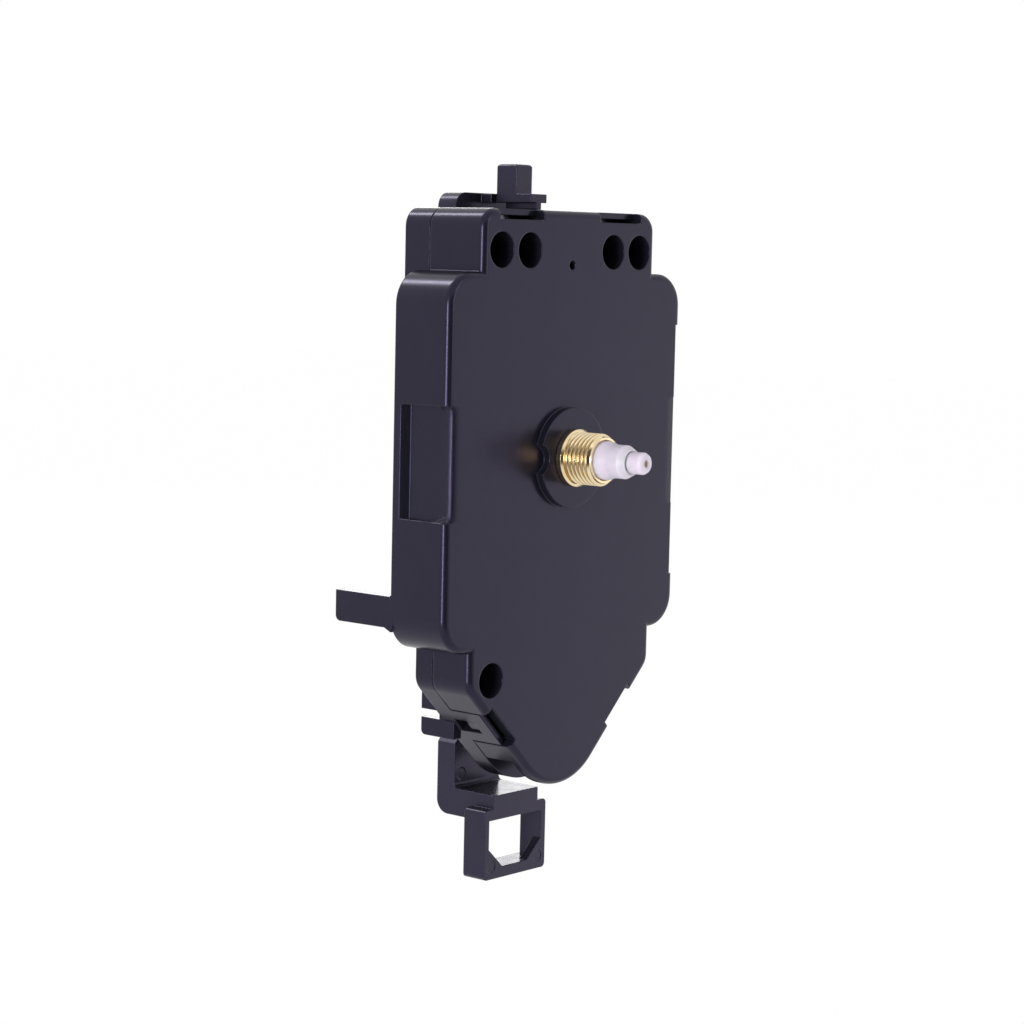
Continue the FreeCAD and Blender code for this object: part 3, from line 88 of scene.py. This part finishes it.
def set_inputs(node: bpy.types.Node, values: dict[str, SocketValue]) -> None:
    """Sets several input sockets of a node.

    Args:
        node: The node.
        values: The value for each socket's name.
    """
    for name, value in values.items():
        node.inputs[name].default_value = value


class Surface(Enum):
    """How a finish was made, which decides its fine pattern."""

    MOULDED = "moulded"
    TURNED = "turned"
    ROLLED = "rolled"
    ENAMELLED = "enamelled"
    LAMINATE = "laminate"
    SINTERED = "sintered"


# How much longer a grain is along each axis.
GRAIN_STRETCH: dict[Surface, Point] = {
    Surface.MOULDED: (1.0, 1.0, 1.0),
    Surface.TURNED: (0.6, 8.0, 0.6),
    Surface.ROLLED: (14.0, 1.0, 1.0),
    Surface.ENAMELLED: (1.0, 1.0, 1.0),
    Surface.LAMINATE: (3.0, 1.0, 3.0),
    Surface.SINTERED: (1.0, 1.0, 1.0),
}


@dataclass(frozen=True)
class Finish:
    """One finish of the movement, from its colour to its finest grain."""

    name: str
    colour: Colour
    second_colour: Colour
    surface: Surface
    roughness: float
    roughness_spread: float
    metallic: float = 0.0
    specular: float = 0.5
    specular_tint: Colour = (1.0, 1.0, 1.0)
    grain_mm: float = 0.12
    grain_depth_mm: float = 0.004
    mottle_mm: float = 6.0
    edge_round_mm: float = 0.12
    pocket_round_mm: float = 0.0
    subsurface: float = 0.0
    coat: float = 0.0

    def material(self) -> bpy.types.Material:
        """Builds the finish as a node material.

        Returns:
            The new material.
        """
        made = bpy.data.materials.new(self.name)
        made.use_nodes = True
        made.diffuse_color = (*self.colour, 1.0)
        tree = made.node_tree
        shader = tree.nodes["Principled BSDF"]
        set_inputs(shader, {
            "Metallic": self.metallic,
            "Specular IOR Level": self.specular,
            "Specular Tint": (*self.specular_tint, 1.0),
            "Coat Weight": self.coat,
        })
        if self.subsurface:
            set_inputs(shader, {
                "Subsurface Weight": self.subsurface,
                "Subsurface Radius": SCATTER_SPREAD,
                "Subsurface Scale": SCATTER_MM * MM,
            })
        place = tree.nodes.new("ShaderNodeTexCoord").outputs["Object"]
        self._colour_nodes(tree, shader, place)
        self._bump_nodes(tree, shader, place)
        return made

    def _noise(self, tree: bpy.types.NodeTree, place: bpy.types.NodeSocket, size_mm: float,
               detail: float, stretch: Point = (1.0, 1.0, 1.0)) -> bpy.types.NodeSocket:
        """Adds a noise pattern of a real size.

        Args:
            tree: The material's node tree.
            place: The coordinates it reads.
            size_mm: The size of one grain.
            detail: How many finer octaves it has.
            stretch: How much longer a grain is along each axis.

        Returns:
            The pattern's value, from nought to one.
        """
        mapping = tree.nodes.new("ShaderNodeMapping")
        set_inputs(mapping, {"Scale": tuple(1.0 / (size_mm * MM * part) for part in stretch)})
        noise = tree.nodes.new("ShaderNodeTexNoise")
        set_inputs(noise, {"Scale": 1.0, "Detail": detail})
        tree.links.new(place, mapping.inputs["Vector"])
        tree.links.new(mapping.outputs["Vector"], noise.inputs["Vector"])
        return noise.outputs["Fac"]

    def _colour_nodes(self, tree: bpy.types.NodeTree, shader: bpy.types.Node,
                      place: bpy.types.NodeSocket) -> None:
        """Mottles the colour and the roughness.

        Args:
            tree: The material's node tree.
            shader: The surface shader.
            place: The coordinates the patterns read.
        """
        mottle = self._noise(tree, place, self.mottle_mm, MOTTLE_DETAIL)
        ramp = tree.nodes.new("ShaderNodeValToRGB")
        tones = (self.colour, self.second_colour)
        for element, position, tone in zip(ramp.color_ramp.elements, MOTTLE_ENDS, tones):
            element.position = position
            element.color = (*tone, 1.0)
        tree.links.new(mottle, ramp.inputs["Fac"])
        tree.links.new(ramp.outputs["Color"], shader.inputs["Base Color"])
        wear = self._noise(tree, place, self.mottle_mm * WEAR_SIZE_SHARE, WEAR_DETAIL)
        spread = tree.nodes.new("ShaderNodeMapRange")
        set_inputs(spread, {
            "From Min": WEAR_ENDS[0],
            "From Max": WEAR_ENDS[1],
            "To Min": self.roughness - self.roughness_spread,
            "To Max": self.roughness + self.roughness_spread,
        })
        tree.links.new(wear, spread.inputs["Value"])
        tree.links.new(spread.outputs["Result"], shader.inputs["Roughness"])

    def _bump_nodes(self, tree: bpy.types.NodeTree, shader: bpy.types.Node,
                    place: bpy.types.NodeSocket) -> None:
        """Adds the fine relief that the surface's making leaves, over softly rounded edges.

        Args:
            tree: The material's node tree.
            shader: The surface shader.
            place: The coordinates the pattern reads.
        """
        grain = self._noise(tree, place, self.grain_mm, GRAIN_DETAIL, GRAIN_STRETCH[self.surface])
        bump = tree.nodes.new("ShaderNodeBump")
        set_inputs(bump, {"Strength": BUMP_STRENGTH, "Distance": self.grain_depth_mm * MM})
        tree.links.new(grain, bump.inputs["Height"])
        if self.edge_round_mm:
            edge = tree.nodes.new("ShaderNodeBevel")
            edge.samples = EDGE_SAMPLES
            set_inputs(edge, {"Radius": self.edge_round_mm * MM})
            if self.pocket_round_mm:
                tree.links.new(self._pocket_radius(tree, place), edge.inputs["Radius"])
            tree.links.new(edge.outputs["Normal"], bump.inputs["Normal"])
        tree.links.new(bump.outputs["Normal"], shader.inputs["Normal"])

    def _pocket_radius(self, tree: bpy.types.NodeTree,
                       place: bpy.types.NodeSocket) -> bpy.types.NodeSocket:
        """Rounds the front edge of the side pockets more than the case's other edges.

        Args:
            tree: The material's node tree.
            place: The coordinates, in metres along the movement's axes.

        Returns:
            The rounding's radius in metres.
        """
        split = tree.nodes.new("ShaderNodeSeparateXYZ")
        tree.links.new(place, split.inputs["Vector"])
        share: bpy.types.NodeSocket | None = None
        for axis, outside, inside in POCKET_EDGE_MM:
            reach = tree.nodes.new("ShaderNodeMath")
            reach.operation = "ABSOLUTE"
            tree.links.new(split.outputs[axis], reach.inputs[0])
            near = tree.nodes.new("ShaderNodeMapRange")
            set_inputs(near, {"From Min": outside * MM, "From Max": inside * MM})
            tree.links.new(reach.outputs["Value"], near.inputs["Value"])
            if share is not None:
                tree.links.new(share, near.inputs["To Max"])
            share = near.outputs["Result"]
        radius = tree.nodes.new("ShaderNodeMapRange")
        set_inputs(radius, {"To Min": self.edge_round_mm * MM, "To Max": self.pocket_round_mm * MM})
        tree.links.new(share, radius.inputs["Value"])
        return radius.outputs["Result"]


CASE_PLASTIC = Finish(
    "case_plastic", (0.0078, 0.0079, 0.0125), (0.0094, 0.0095, 0.0148), Surface.MOULDED,
    0.23, 0.02, specular=0.325, specular_tint=(0.64, 0.54, 1.0), grain_depth_mm=0.001,
    edge_round_mm=0.30, pocket_round_mm=2.2)
COVER_PLASTIC = Finish(
    "cover_plastic", (0.0075, 0.0076, 0.0120), (0.0090, 0.0091, 0.0142), Surface.MOULDED,
    0.22, 0.02, specular=0.325, specular_tint=(0.64, 0.54, 1.0), grain_depth_mm=0.001,
    edge_round_mm=0.26)
LEVER_PLASTIC = Finish(
    "lever_plastic", (0.0115, 0.0112, 0.0180), (0.0135, 0.0132, 0.0208), Surface.MOULDED,
    0.27, 0.03, specular=0.39, specular_tint=(0.68, 0.58, 1.0), grain_depth_mm=0.0006,
    edge_round_mm=0.22)
SHAFT_NYLON = Finish(
    "shaft_nylon", (0.66, 0.60, 0.70), (0.70, 0.64, 0.74), Surface.MOULDED, 0.40, 0.05,
    specular=0.35, grain_depth_mm=0.002, edge_round_mm=0.12, subsurface=1.0)
GEAR_ACETAL = Finish(
    "gear_acetal", (0.74, 0.73, 0.68), (0.80, 0.79, 0.74), Surface.MOULDED, 0.38, 0.05,
    grain_depth_mm=0.002, edge_round_mm=0.05, subsurface=0.2)
SECONDS_ACETAL = Finish(
    "seconds_acetal", (0.30, 0.17, 0.09), (0.36, 0.21, 0.11), Surface.MOULDED, 0.36, 0.05,
    grain_depth_mm=0.002, edge_round_mm=0.04)
BOBBIN_NYLON = Finish(
    "bobbin_nylon", (0.58, 0.55, 0.47), (0.64, 0.61, 0.53), Surface.MOULDED, 0.42, 0.05,
    grain_depth_mm=0.002, edge_round_mm=0.06)
BUSH_BRASS = Finish(
    "bush_brass", (0.77, 0.62, 0.38), (0.85, 0.70, 0.46), Surface.TURNED, 0.22, 0.04,
    metallic=1.0, grain_mm=0.06, grain_depth_mm=0.002, mottle_mm=2.2, edge_round_mm=0.05)
COPPER_WIRE = Finish(
    "copper_wire", (0.62, 0.26, 0.11), (0.72, 0.33, 0.15), Surface.ENAMELLED, 0.25, 0.05,
    metallic=0.8, grain_depth_mm=0.001, edge_round_mm=0.0, coat=0.4)
SOFT_IRON = Finish(
    "soft_iron", (0.42, 0.42, 0.44), (0.50, 0.50, 0.52), Surface.ROLLED, 0.34, 0.06,
    metallic=1.0, grain_mm=0.08, grain_depth_mm=0.002, edge_round_mm=0.05)
CONTACT_NICKEL = Finish(
    "contact_nickel", (0.66, 0.64, 0.59), (0.74, 0.72, 0.67), Surface.ROLLED, 0.20, 0.05,
    metallic=1.0, grain_mm=0.06, grain_depth_mm=0.0015, edge_round_mm=0.04)
CRYSTAL_CAN = Finish(
    "crystal_can", (0.68, 0.68, 0.70), (0.76, 0.76, 0.78), Surface.ROLLED, 0.22, 0.05,
    metallic=1.0, grain_mm=0.06, grain_depth_mm=0.001, edge_round_mm=0.06)
BOARD_LAMINATE = Finish(
    "board_laminate", (0.055, 0.145, 0.070), (0.075, 0.180, 0.090), Surface.LAMINATE, 0.40, 0.06,
    grain_mm=0.35, grain_depth_mm=0.006, mottle_mm=3.0, edge_round_mm=0.04, coat=0.3)
CHIP_RESIN = Finish(
    "chip_resin", (0.010, 0.010, 0.011), (0.016, 0.016, 0.017), Surface.ENAMELLED, 0.22, 0.05,
    grain_depth_mm=0.002, edge_round_mm=0.1)
MAGNET_FERRITE = Finish(
    "magnet_ferrite", (0.055, 0.055, 0.060), (0.085, 0.085, 0.090), Surface.SINTERED, 0.55, 0.08,
    metallic=0.3, grain_mm=0.08, grain_depth_mm=0.006, edge_round_mm=0.06)

NODE_FINISHES: dict[str, Finish] = {
    "front_case": CASE_PLASTIC,
    "rear_cover": COVER_PLASTIC,
    "pendulum_lever": LEVER_PLASTIC,
    "set_knob": COVER_PLASTIC,
    "hour_wheel": SHAFT_NYLON,
    "minute_wheel": SHAFT_NYLON,
    "seconds_wheel": SECONDS_ACETAL,
    "third_wheel": GEAR_ACETAL,
    "intermediate_wheel": GEAR_ACETAL,
    "motion_wheel": GEAR_ACETAL,
    "setting_wheel": GEAR_ACETAL,
    "rotor_pinion": GEAR_ACETAL,
    "train_plate": GEAR_ACETAL,
    "rear_bridge": GEAR_ACETAL,
    "motor_coil_bobbin": BOBBIN_NYLON,
    "drive_coil_bobbin": BOBBIN_NYLON,
    "motor_stator": SOFT_IRON,
    "coil_core": SOFT_IRON,
    "battery_contact_plus": CONTACT_NICKEL,
    "battery_contact_minus": CONTACT_NICKEL,
    "quartz_crystal": CRYSTAL_CAN,
    "circuit_board": BOARD_LAMINATE,
    "chip_blob": CHIP_RESIN,
    "rotor_magnet": MAGNET_FERRITE,
    "pendulum_magnet": MAGNET_FERRITE,
    "hand_shaft_bush": BUSH_BRASS,
    "motor_coil_winding": COPPER_WIRE,
    "drive_coil_winding": COPPER_WIRE,
}


@dataclass
class FinishShelf:
    """Keeps one material for each finish, so that pieces share it."""

    made: dict[str, bpy.types.Material] = field(default_factory=dict)

    def get(self, finish: Finish) -> bpy.types.Material:
        """Gives a finish's material, made at its first use.

        Args:
            finish: The wanted finish.

        Returns:
            Its material.
        """
        if finish.name not in self.made:
            self.made[finish.name] = finish.material()
        return self.made[finish.name]


def new_piece(name: str, shape: bmesh.types.BMesh, material: bpy.types.Material,
              smooth_degrees: float = 35.0) -> bpy.types.Object:
    """Turns a finished bmesh into an object at the origin.

    Args:
        name: The piece's name.
        shape: Its shape, which is freed here.
        material: What it is made of.
        smooth_degrees: Edges flatter than this are shaded smooth.

    Returns:
        The new object.
    """
    bmesh.ops.recalc_face_normals(shape, faces=shape.faces)
    mesh = bpy.data.meshes.new(name)
    shape.to_mesh(mesh)
    shape.free()
    mesh.materials.append(material)
    mesh.polygons.foreach_set("use_smooth", [True] * len(mesh.polygons))
    mesh.set_sharp_from_angle(angle=math.radians(smooth_degrees))
    piece = bpy.data.objects.new(name, mesh)
    bpy.context.scene.collection.objects.link(piece)
    LOG.info("piece %s has %d faces", name, len(mesh.polygons))
    return piece


@dataclass
class HandShaftBush:
    """The turned brass bush with its helical thread, in millimetres along the hand axis."""

    node: str = "hand_shaft_bush"
    pitch: float = 0.75
    thread_depth: float = 0.42
    crest_flat: float = 0.12
    tooth_share: float = 0.92
    tooth_sink: float = 0.04
    trim_sink: float = 0.03
    chamfer: float = 0.4
    nose_drop: float = 0.08
    nose_length: float = 0.2
    crest_radius: float = 3.95
    bore_radius: float = 2.96
    bore_relief: float = 0.14
    collar_radius: float = 4.35
    collar_chamfer: float = 0.3
    collar_back_chamfer: float = 0.1
    collar_front: float = -2.45
    pad_front: float = -1.2
    wall_back: float = 1.6
    round_segments: int = 128
    thread_segments: int = 64
    smooth_degrees: float = 40.0

    def build(self, shelf: FinishShelf) -> bpy.types.Object:
        """Builds the bush and its thread, and hides the plain CAD bush.

        Args:
            shelf: Where its brass comes from.

        Returns:
            The bush.
        """
        low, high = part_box(self.node)
        front = low.y / MM
        shape = bmesh.new()
        self._spin_section(shape, front, high.y / MM, high.x / MM)
        self._add_thread(shape, front)
        bmesh.ops.scale(shape, vec=Vector((MM, MM, MM)), verts=shape.verts)
        piece = new_piece("bush_threaded", shape, shelf.get(BUSH_BRASS), self.smooth_degrees)
        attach(piece, "case")
        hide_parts(self.node)
        return piece

    def _spin_section(self, shape: bmesh.types.BMesh, front: float, back: float,
                      flange: float) -> None:
        """Spins the half section of the core, the collar and the inner flange.

        Args:
            shape: The bmesh that is added to.
            front: Where the thread ends in front.
            back: Where the inner flange ends.
            flange: The inner flange's radius.
        """
        crest = self.crest_radius
        root = crest - self.thread_depth
        collar = self.collar_radius
        section = [
            (front, self.bore_radius + self.bore_relief),
            (front, root - self.nose_drop),
            (front + self.nose_length, root),
            (self.collar_front, root),
            (self.collar_front, collar - self.collar_chamfer),
            (self.collar_front + self.collar_chamfer, collar),
            (self.pad_front - self.collar_back_chamfer, collar),
            (self.pad_front, collar - self.collar_back_chamfer),
            (self.pad_front, crest),
            (self.wall_back, crest),
            (self.wall_back, flange),
            (back, flange),
            (back, self.bore_radius),
            (front + self.bore_relief, self.bore_radius),
        ]
        verts = [shape.verts.new((0.0, y, radius)) for y, radius in section]
        edges = [shape.edges.new(pair) for pair in zip(verts, verts[1:] + verts[:1])]
        bmesh.ops.spin(shape, geom=verts + edges, cent=(0, 0, 0), axis=(0, 1, 0), angle=math.tau,
                       steps=self.round_segments, use_merge=True)

    def _add_thread(self, shape: bmesh.types.BMesh, front: float) -> None:
        """Sweeps the thread's tooth along a helix and trims its front end to the chamfer.

        Args:
            shape: The bmesh that is added to.
            front: Where the thread ends in front.
        """
        crest = self.crest_radius
        root = crest - self.thread_depth
        half = self.pitch / 2
        flat = self.crest_flat / 2
        start = self.collar_front + self.pitch
        turns = (start - front - half) / self.pitch
        steps = int(self.thread_segments * turns)
        thread = bmesh.new()
        foot = half * self.tooth_share
        profile = [(start - foot, root - self.tooth_sink), (start - flat, crest),
                   (start + flat, crest), (start + foot, root - self.tooth_sink)]
        tooth = thread.faces.new([thread.verts.new((0.0, y, radius)) for y, radius in profile])
        bmesh.ops.spin(thread, geom=[tooth], cent=(0, 0, 0), axis=(0, 1, 0),
                       dvec=(0, -self.pitch * turns / steps, 0), angle=math.tau * turns,
                       steps=steps, use_duplicate=False)
        for vert in thread.verts:
            radius = math.hypot(vert.co.x, vert.co.z)
            allowed = crest - max(0.0, front + self.chamfer - vert.co.y)
            if radius > allowed and radius > root:
                share = max(allowed, root - self.trim_sink) / radius
                vert.co.x *= share
                vert.co.z *= share
        mesh = bpy.data.meshes.new("thread_turns")
        thread.to_mesh(mesh)
        thread.free()
        shape.from_mesh(mesh)
        bpy.data.meshes.remove(mesh)


@dataclass
class WoundCoil:
    """A coil of enamelled wire, wound in one visible layer over the CAD ring it stands for."""

    node: str
    name: str
    axis: Vector
    turns: int
    slot: str = "copper_wire"
    wire_segments: int = 8
    steps_per_turn: int = 36
    sleeve_segments: int = 48
    sleeve_inset: float = 1.1
    smooth_degrees: float = 60.0

    def build(self, shelf: FinishShelf) -> bpy.types.Object:
        """Winds the wire as a helix between the bobbin's flanges, over a sleeve of hidden layers.

        Args:
            shelf: Where its wire finish comes from.

        Returns:
            The coil.
        """
        low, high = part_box(self.node)
        centre = (low + high) / 2
        size = high - low
        length = abs(size.dot(self.axis))
        widest = max(size)
        radius = (widest if length < widest else sorted(size)[1]) / 2
        wire = length / (self.turns + 1) / 2
        shape = bmesh.new()
        self._wind(shape, centre, length, radius, wire)
        inner = radius - wire * self.sleeve_inset
        sleeve = bmesh.ops.create_cone(shape, cap_ends=True, segments=self.sleeve_segments,
                                       radius1=inner, radius2=inner, depth=length)
        tilt = Vector((0, 0, 1)).rotation_difference(self.axis).to_matrix().to_4x4()
        bmesh.ops.transform(shape, matrix=Matrix.Translation(centre) @ tilt, verts=sleeve["verts"])
        piece = new_piece(self.name, shape, shelf.get(COPPER_WIRE), self.smooth_degrees)
        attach(piece, "case")
        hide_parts(self.node)
        return piece

    def _wind(self, shape: bmesh.types.BMesh, centre: Vector, length: float, radius: float,
              wire: float) -> None:
        """Sweeps the wire's round section along the helix.

        Args:
            shape: The bmesh that is added to.
            centre: The coil's centre.
            length: Its length along the axis.
            radius: Its outer radius.
            wire: The wire's radius.
        """
        side = Vector((0, 0, 1))
        ring = bmesh.ops.create_circle(shape, cap_ends=True, segments=self.wire_segments,
                                       radius=wire)
        across = self.axis.cross(side).normalized()
        facing = Matrix((side, self.axis, across)).transposed()
        bmesh.ops.transform(shape, matrix=facing.to_4x4(), verts=ring["verts"])
        start = centre - self.axis * (length / 2 - wire) + side * (radius - wire)
        bmesh.ops.translate(shape, vec=start, verts=ring["verts"])
        steps = self.turns * self.steps_per_turn
        advance = self.axis * ((length - wire * 2) / steps)
        bmesh.ops.spin(shape, geom=list(shape.faces), cent=centre, axis=self.axis, dvec=advance,
                       angle=math.tau * self.turns, steps=steps, use_duplicate=False)


@dataclass
class BatterySpring:
    """The conical spring of the minus contact, which stands over the stepped CAD button."""

    node: str = "battery_contact_minus"
    turns: float = 3.5
    wire_mm: float = 0.3
    plate_mm: float = 0.5
    wide_mm: float = 3.1
    narrow_mm: float = 1.6
    wire_segments: int = 10
    steps_per_turn: int = 40
    smooth_degrees: float = 60.0

    def build(self, shelf: FinishShelf) -> bpy.types.Object:
        """Coils the spring on the minus contact.

        Args:
            shelf: Where its nickel comes from.

        Returns:
            The spring.
        """
        low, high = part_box(self.node)
        centre = Vector(((low.x + high.x) / 2, (low.y + high.y) / 2, 0))
        wire = self.wire_mm * MM / 2
        base = low.z + self.plate_mm * MM
        top = high.z - wire
        wide = self.wide_mm * MM
        narrow = self.narrow_mm * MM
        shape = bmesh.new()
        ring = bmesh.ops.create_circle(shape, cap_ends=True, segments=self.wire_segments,
                                       radius=wire)
        bmesh.ops.rotate(shape, cent=(0, 0, 0), matrix=Matrix.Rotation(math.pi / 2, 3, "X"),
                         verts=ring["verts"])
        bmesh.ops.translate(shape, vec=(wide, 0, base), verts=ring["verts"])
        steps = int(self.turns * self.steps_per_turn)
        bmesh.ops.spin(shape, geom=list(shape.faces), cent=(0, 0, 0), axis=(0, 0, 1),
                       dvec=(0, 0, (top - base) / steps), angle=math.tau * self.turns,
                       steps=steps, use_duplicate=False)
        for vert in shape.verts:
            rise = min(1.0, max(0.0, (vert.co.z - base) / (top - base)))
            radius = math.hypot(vert.co.x, vert.co.y)
            wanted = radius + (narrow - wide) * rise
            vert.co.x *= wanted / radius
            vert.co.y *= wanted / radius
        bmesh.ops.translate(shape, vec=centre, verts=shape.verts)
        piece = new_piece("battery_spring", shape, shelf.get(CONTACT_NICKEL), self.smooth_degrees)
        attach(piece, "case")
        return piece


@dataclass
class Movement:
    """The whole dressed movement."""

    shelf: FinishShelf = field(default_factory=FinishShelf)

    def build(self, nodes: dict[str, bpy.types.Object]) -> None:
        """Dresses the CAD nodes and adds the pieces that are made here.

        Args:
            nodes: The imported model's nodes by name.
        """
        self._dress(nodes)
        HandShaftBush().build(self.shelf)
        for node, name, axis, turns in (
            ("motor_coil_winding", "motor_coil_turns", Vector((1, 0, 0)), 22),
            ("drive_coil_winding", "drive_coil_turns", Vector((0, 1, 0)), 16),
        ):
            WoundCoil(node, name, axis, turns).build(self.shelf)
        BatterySpring().build(self.shelf)

    def _dress(self, nodes: dict[str, bpy.types.Object]) -> None:
        """Gives each CAD node its finish.

        Args:
            nodes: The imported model's nodes by name.
        """
        for name, node in nodes.items():
            finish = NODE_FINISHES[name]
            node.data.materials.clear()
            node.data.materials.append(self.shelf.get(finish))
            LOG.info("node %s is dressed in %s", name, finish.name)


@dataclass(frozen=True)
class Lamp:
    """A soft rectangular lamp, in metres and watts."""

    name: str
    place: Point
    width: float
    height: float
    power: float
    target: Point = (0.0, 0.0, 0.0)

    def hang(self) -> None:
        """Hangs the lamp, turned to its target."""
        data = bpy.data.lights.new(self.name, "AREA")
        data.shape = "RECTANGLE"
        data.size = self.width
        data.size_y = self.height
        data.energy = self.power
        lamp = bpy.data.objects.new(self.name, data)
        lamp.location = self.place
        way = Vector(self.target) - Vector(self.place)
        lamp.rotation_euler = way.to_track_quat("-Z", "Y").to_euler()
        bpy.context.scene.collection.objects.link(lamp)
        LOG.info("lamp %s gives %.2f W", self.name, self.power)


LAMPS = (
    Lamp("key_strip", (-0.72, -0.13, 0.00), 0.13, 0.32, 3.3, target=(0.0, 0.0, -0.01)),
    Lamp("fill_panel", (0.25, -0.85, 0.20), 0.5, 0.5, 1.6),
    Lamp("back_panel", (2.27, 1.95, 0.66), 3.4, 0.56, 21.0),
    Lamp("top_panel", (-0.15, 0.82, 0.94), 0.15, 0.42, 3.4),
    Lamp("bounce_panel", (0.75, -0.45, -0.12), 0.5, 0.4, 0.25),
)


@dataclass(frozen=True)
class PhotoCamera:
    """The camera of the photograph, in metres in the movement's frame."""

    place: Point = (-0.299564, -0.246368, 0.030500)
    look: Point = (0.75483, 0.64822, -0.10016)
    up: Point = (0.06155, 0.08203, 0.99473)
    lens_mm: float = 90.32
    sensor_mm: float = 36.0
    clip_start: float = 0.01
    clip_end: float = 50.0

    def stand(self) -> None:
        """Puts the camera where the photograph was taken from."""
        data = bpy.data.cameras.new("photo_camera")
        data.sensor_fit = "HORIZONTAL"
        data.sensor_width = self.sensor_mm
        data.lens = self.lens_mm
        data.clip_start = self.clip_start
        data.clip_end = self.clip_end
        camera = bpy.data.objects.new("photo_camera", data)
        look = Vector(self.look).normalized()
        right = look.cross(Vector(self.up)).normalized()
        up = right.cross(look).normalized()
        turned = Matrix((right, up, -look)).transposed().to_4x4()
        camera.matrix_world = Matrix.Translation(Vector(self.place)) @ turned
        bpy.context.scene.collection.objects.link(camera)
        bpy.context.scene.camera = camera


@dataclass
class Studio:
    """A white room: pale floor, even sky, soft lamps and a dark card to reflect."""

    sky_level: float = 0.80
    floor_height: float = -0.30
    floor_size: float = 12.0
    floor_grey: float = 0.90
    floor_glow: float = 0.985
    floor_specular: float = 0.1
    matt: float = 0.9
    card_place: Point = (-0.242, -0.571, 0.02)
    card_size: tuple[float, float] = (0.75, 0.5)
    card_colour: Colour = (0.01, 0.01, 0.012)

    def build(self) -> None:
        """Sets up the sky, the floor, the lamps, the card and the camera."""
        self._sky()
        self._floor()
        for lamp in LAMPS:
            lamp.hang()
        self._dark_card()
        PhotoCamera().stand()

    def _sky(self) -> None:
        """Makes a white sky that camera, glossy and clear rays see at full white."""
        world = bpy.data.worlds.new("white_room")
        bpy.context.scene.world = world
        world.use_nodes = True
        tree = world.node_tree
        sky = tree.nodes["Background"]
        set_inputs(sky, {"Color": WHITE, "Strength": self.sky_level})
        white = tree.nodes.new("ShaderNodeBackground")
        set_inputs(white, {"Color": WHITE, "Strength": 1.0})
        mix = tree.nodes.new("ShaderNodeMixShader")
        tree.links.new(self._seen(tree), mix.inputs["Fac"])
        tree.links.new(sky.outputs["Background"], mix.inputs[1])
        tree.links.new(white.outputs["Background"], mix.inputs[2])
        tree.links.new(mix.outputs["Shader"], tree.nodes["World Output"].inputs["Surface"])

    def _seen(self, tree: bpy.types.NodeTree) -> bpy.types.NodeSocket:
        """Picks the rays that show a background: camera, glossy and transmission.

        Args:
            tree: The node tree that asks.

        Returns:
            One for those rays and nought for the rest.
        """
        path = tree.nodes.new("ShaderNodeLightPath")
        seen = path.outputs["Is Camera Ray"]
        for ray in ("Is Glossy Ray", "Is Transmission Ray"):
            either = tree.nodes.new("ShaderNodeMath")
            either.operation = "MAXIMUM"
            tree.links.new(seen, either.inputs[0])
            tree.links.new(path.outputs[ray], either.inputs[1])
            seen = either.outputs["Value"]
        return seen

    def _floor(self) -> None:
        """Lays a wide pale floor that shows white and keeps a soft shadow."""
        shape = bmesh.new()
        bmesh.ops.create_grid(shape, x_segments=2, y_segments=2, size=self.floor_size / 2)
        bmesh.ops.translate(shape, vec=(0, 0, self.floor_height), verts=shape.verts)
        made = bpy.data.materials.new("pale_floor")
        made.use_nodes = True
        tree = made.node_tree
        shader = tree.nodes["Principled BSDF"]
        set_inputs(shader, {
            "Base Color": (self.floor_grey, self.floor_grey, self.floor_grey, 1.0),
            "Roughness": self.matt,
            "Specular IOR Level": self.floor_specular,
        })
        glow = tree.nodes.new("ShaderNodeEmission")
        set_inputs(glow, {"Color": WHITE, "Strength": 1.0})
        share = tree.nodes.new("ShaderNodeMath")
        share.operation = "MULTIPLY"
        share.inputs[1].default_value = self.floor_glow
        mix = tree.nodes.new("ShaderNodeMixShader")
        tree.links.new(self._seen(tree), share.inputs[0])
        tree.links.new(share.outputs["Value"], mix.inputs["Fac"])
        tree.links.new(shader.outputs["BSDF"], mix.inputs[1])
        tree.links.new(glow.outputs["Emission"], mix.inputs[2])
        tree.links.new(mix.outputs["Shader"], tree.nodes["Material Output"].inputs["Surface"])
        new_piece("studio_floor", shape, made)

    def _dark_card(self) -> None:
        """Stands a dark card on the camera's side, which the rounded edges and the brass reflect.

        The camera itself doesn't see it, so it stays out of views from other sides.
        """
        shape = bmesh.new()
        width, height = self.card_size
        bmesh.ops.create_grid(shape, x_segments=1, y_segments=1, size=1.0)
        bmesh.ops.scale(shape, vec=Vector((width / 2, height / 2, 1.0)), verts=shape.verts)
        made = bpy.data.materials.new("dark_card")
        made.use_nodes = True
        shader = made.node_tree.nodes["Principled BSDF"]
        set_inputs(shader, {"Base Color": (*self.card_colour, 1.0), "Roughness": self.matt})
        place = Vector(self.card_place)
        facing = (-place).to_track_quat("Z", "Y").to_matrix().to_4x4()
        bmesh.ops.transform(shape, matrix=Matrix.Translation(place) @ facing, verts=shape.verts)
        card = new_piece("dark_card", shape, made)
        card.visible_camera = False


def main() -> None:
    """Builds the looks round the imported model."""
    logging.basicConfig(level=logging.INFO, format="%(name)s: %(message)s")
    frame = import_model()
    bpy.context.scene.view_settings.view_transform = "Standard"
    Movement().build(frame["nodes"])
    Studio().build()


if __name__ == "__main__":
    main()
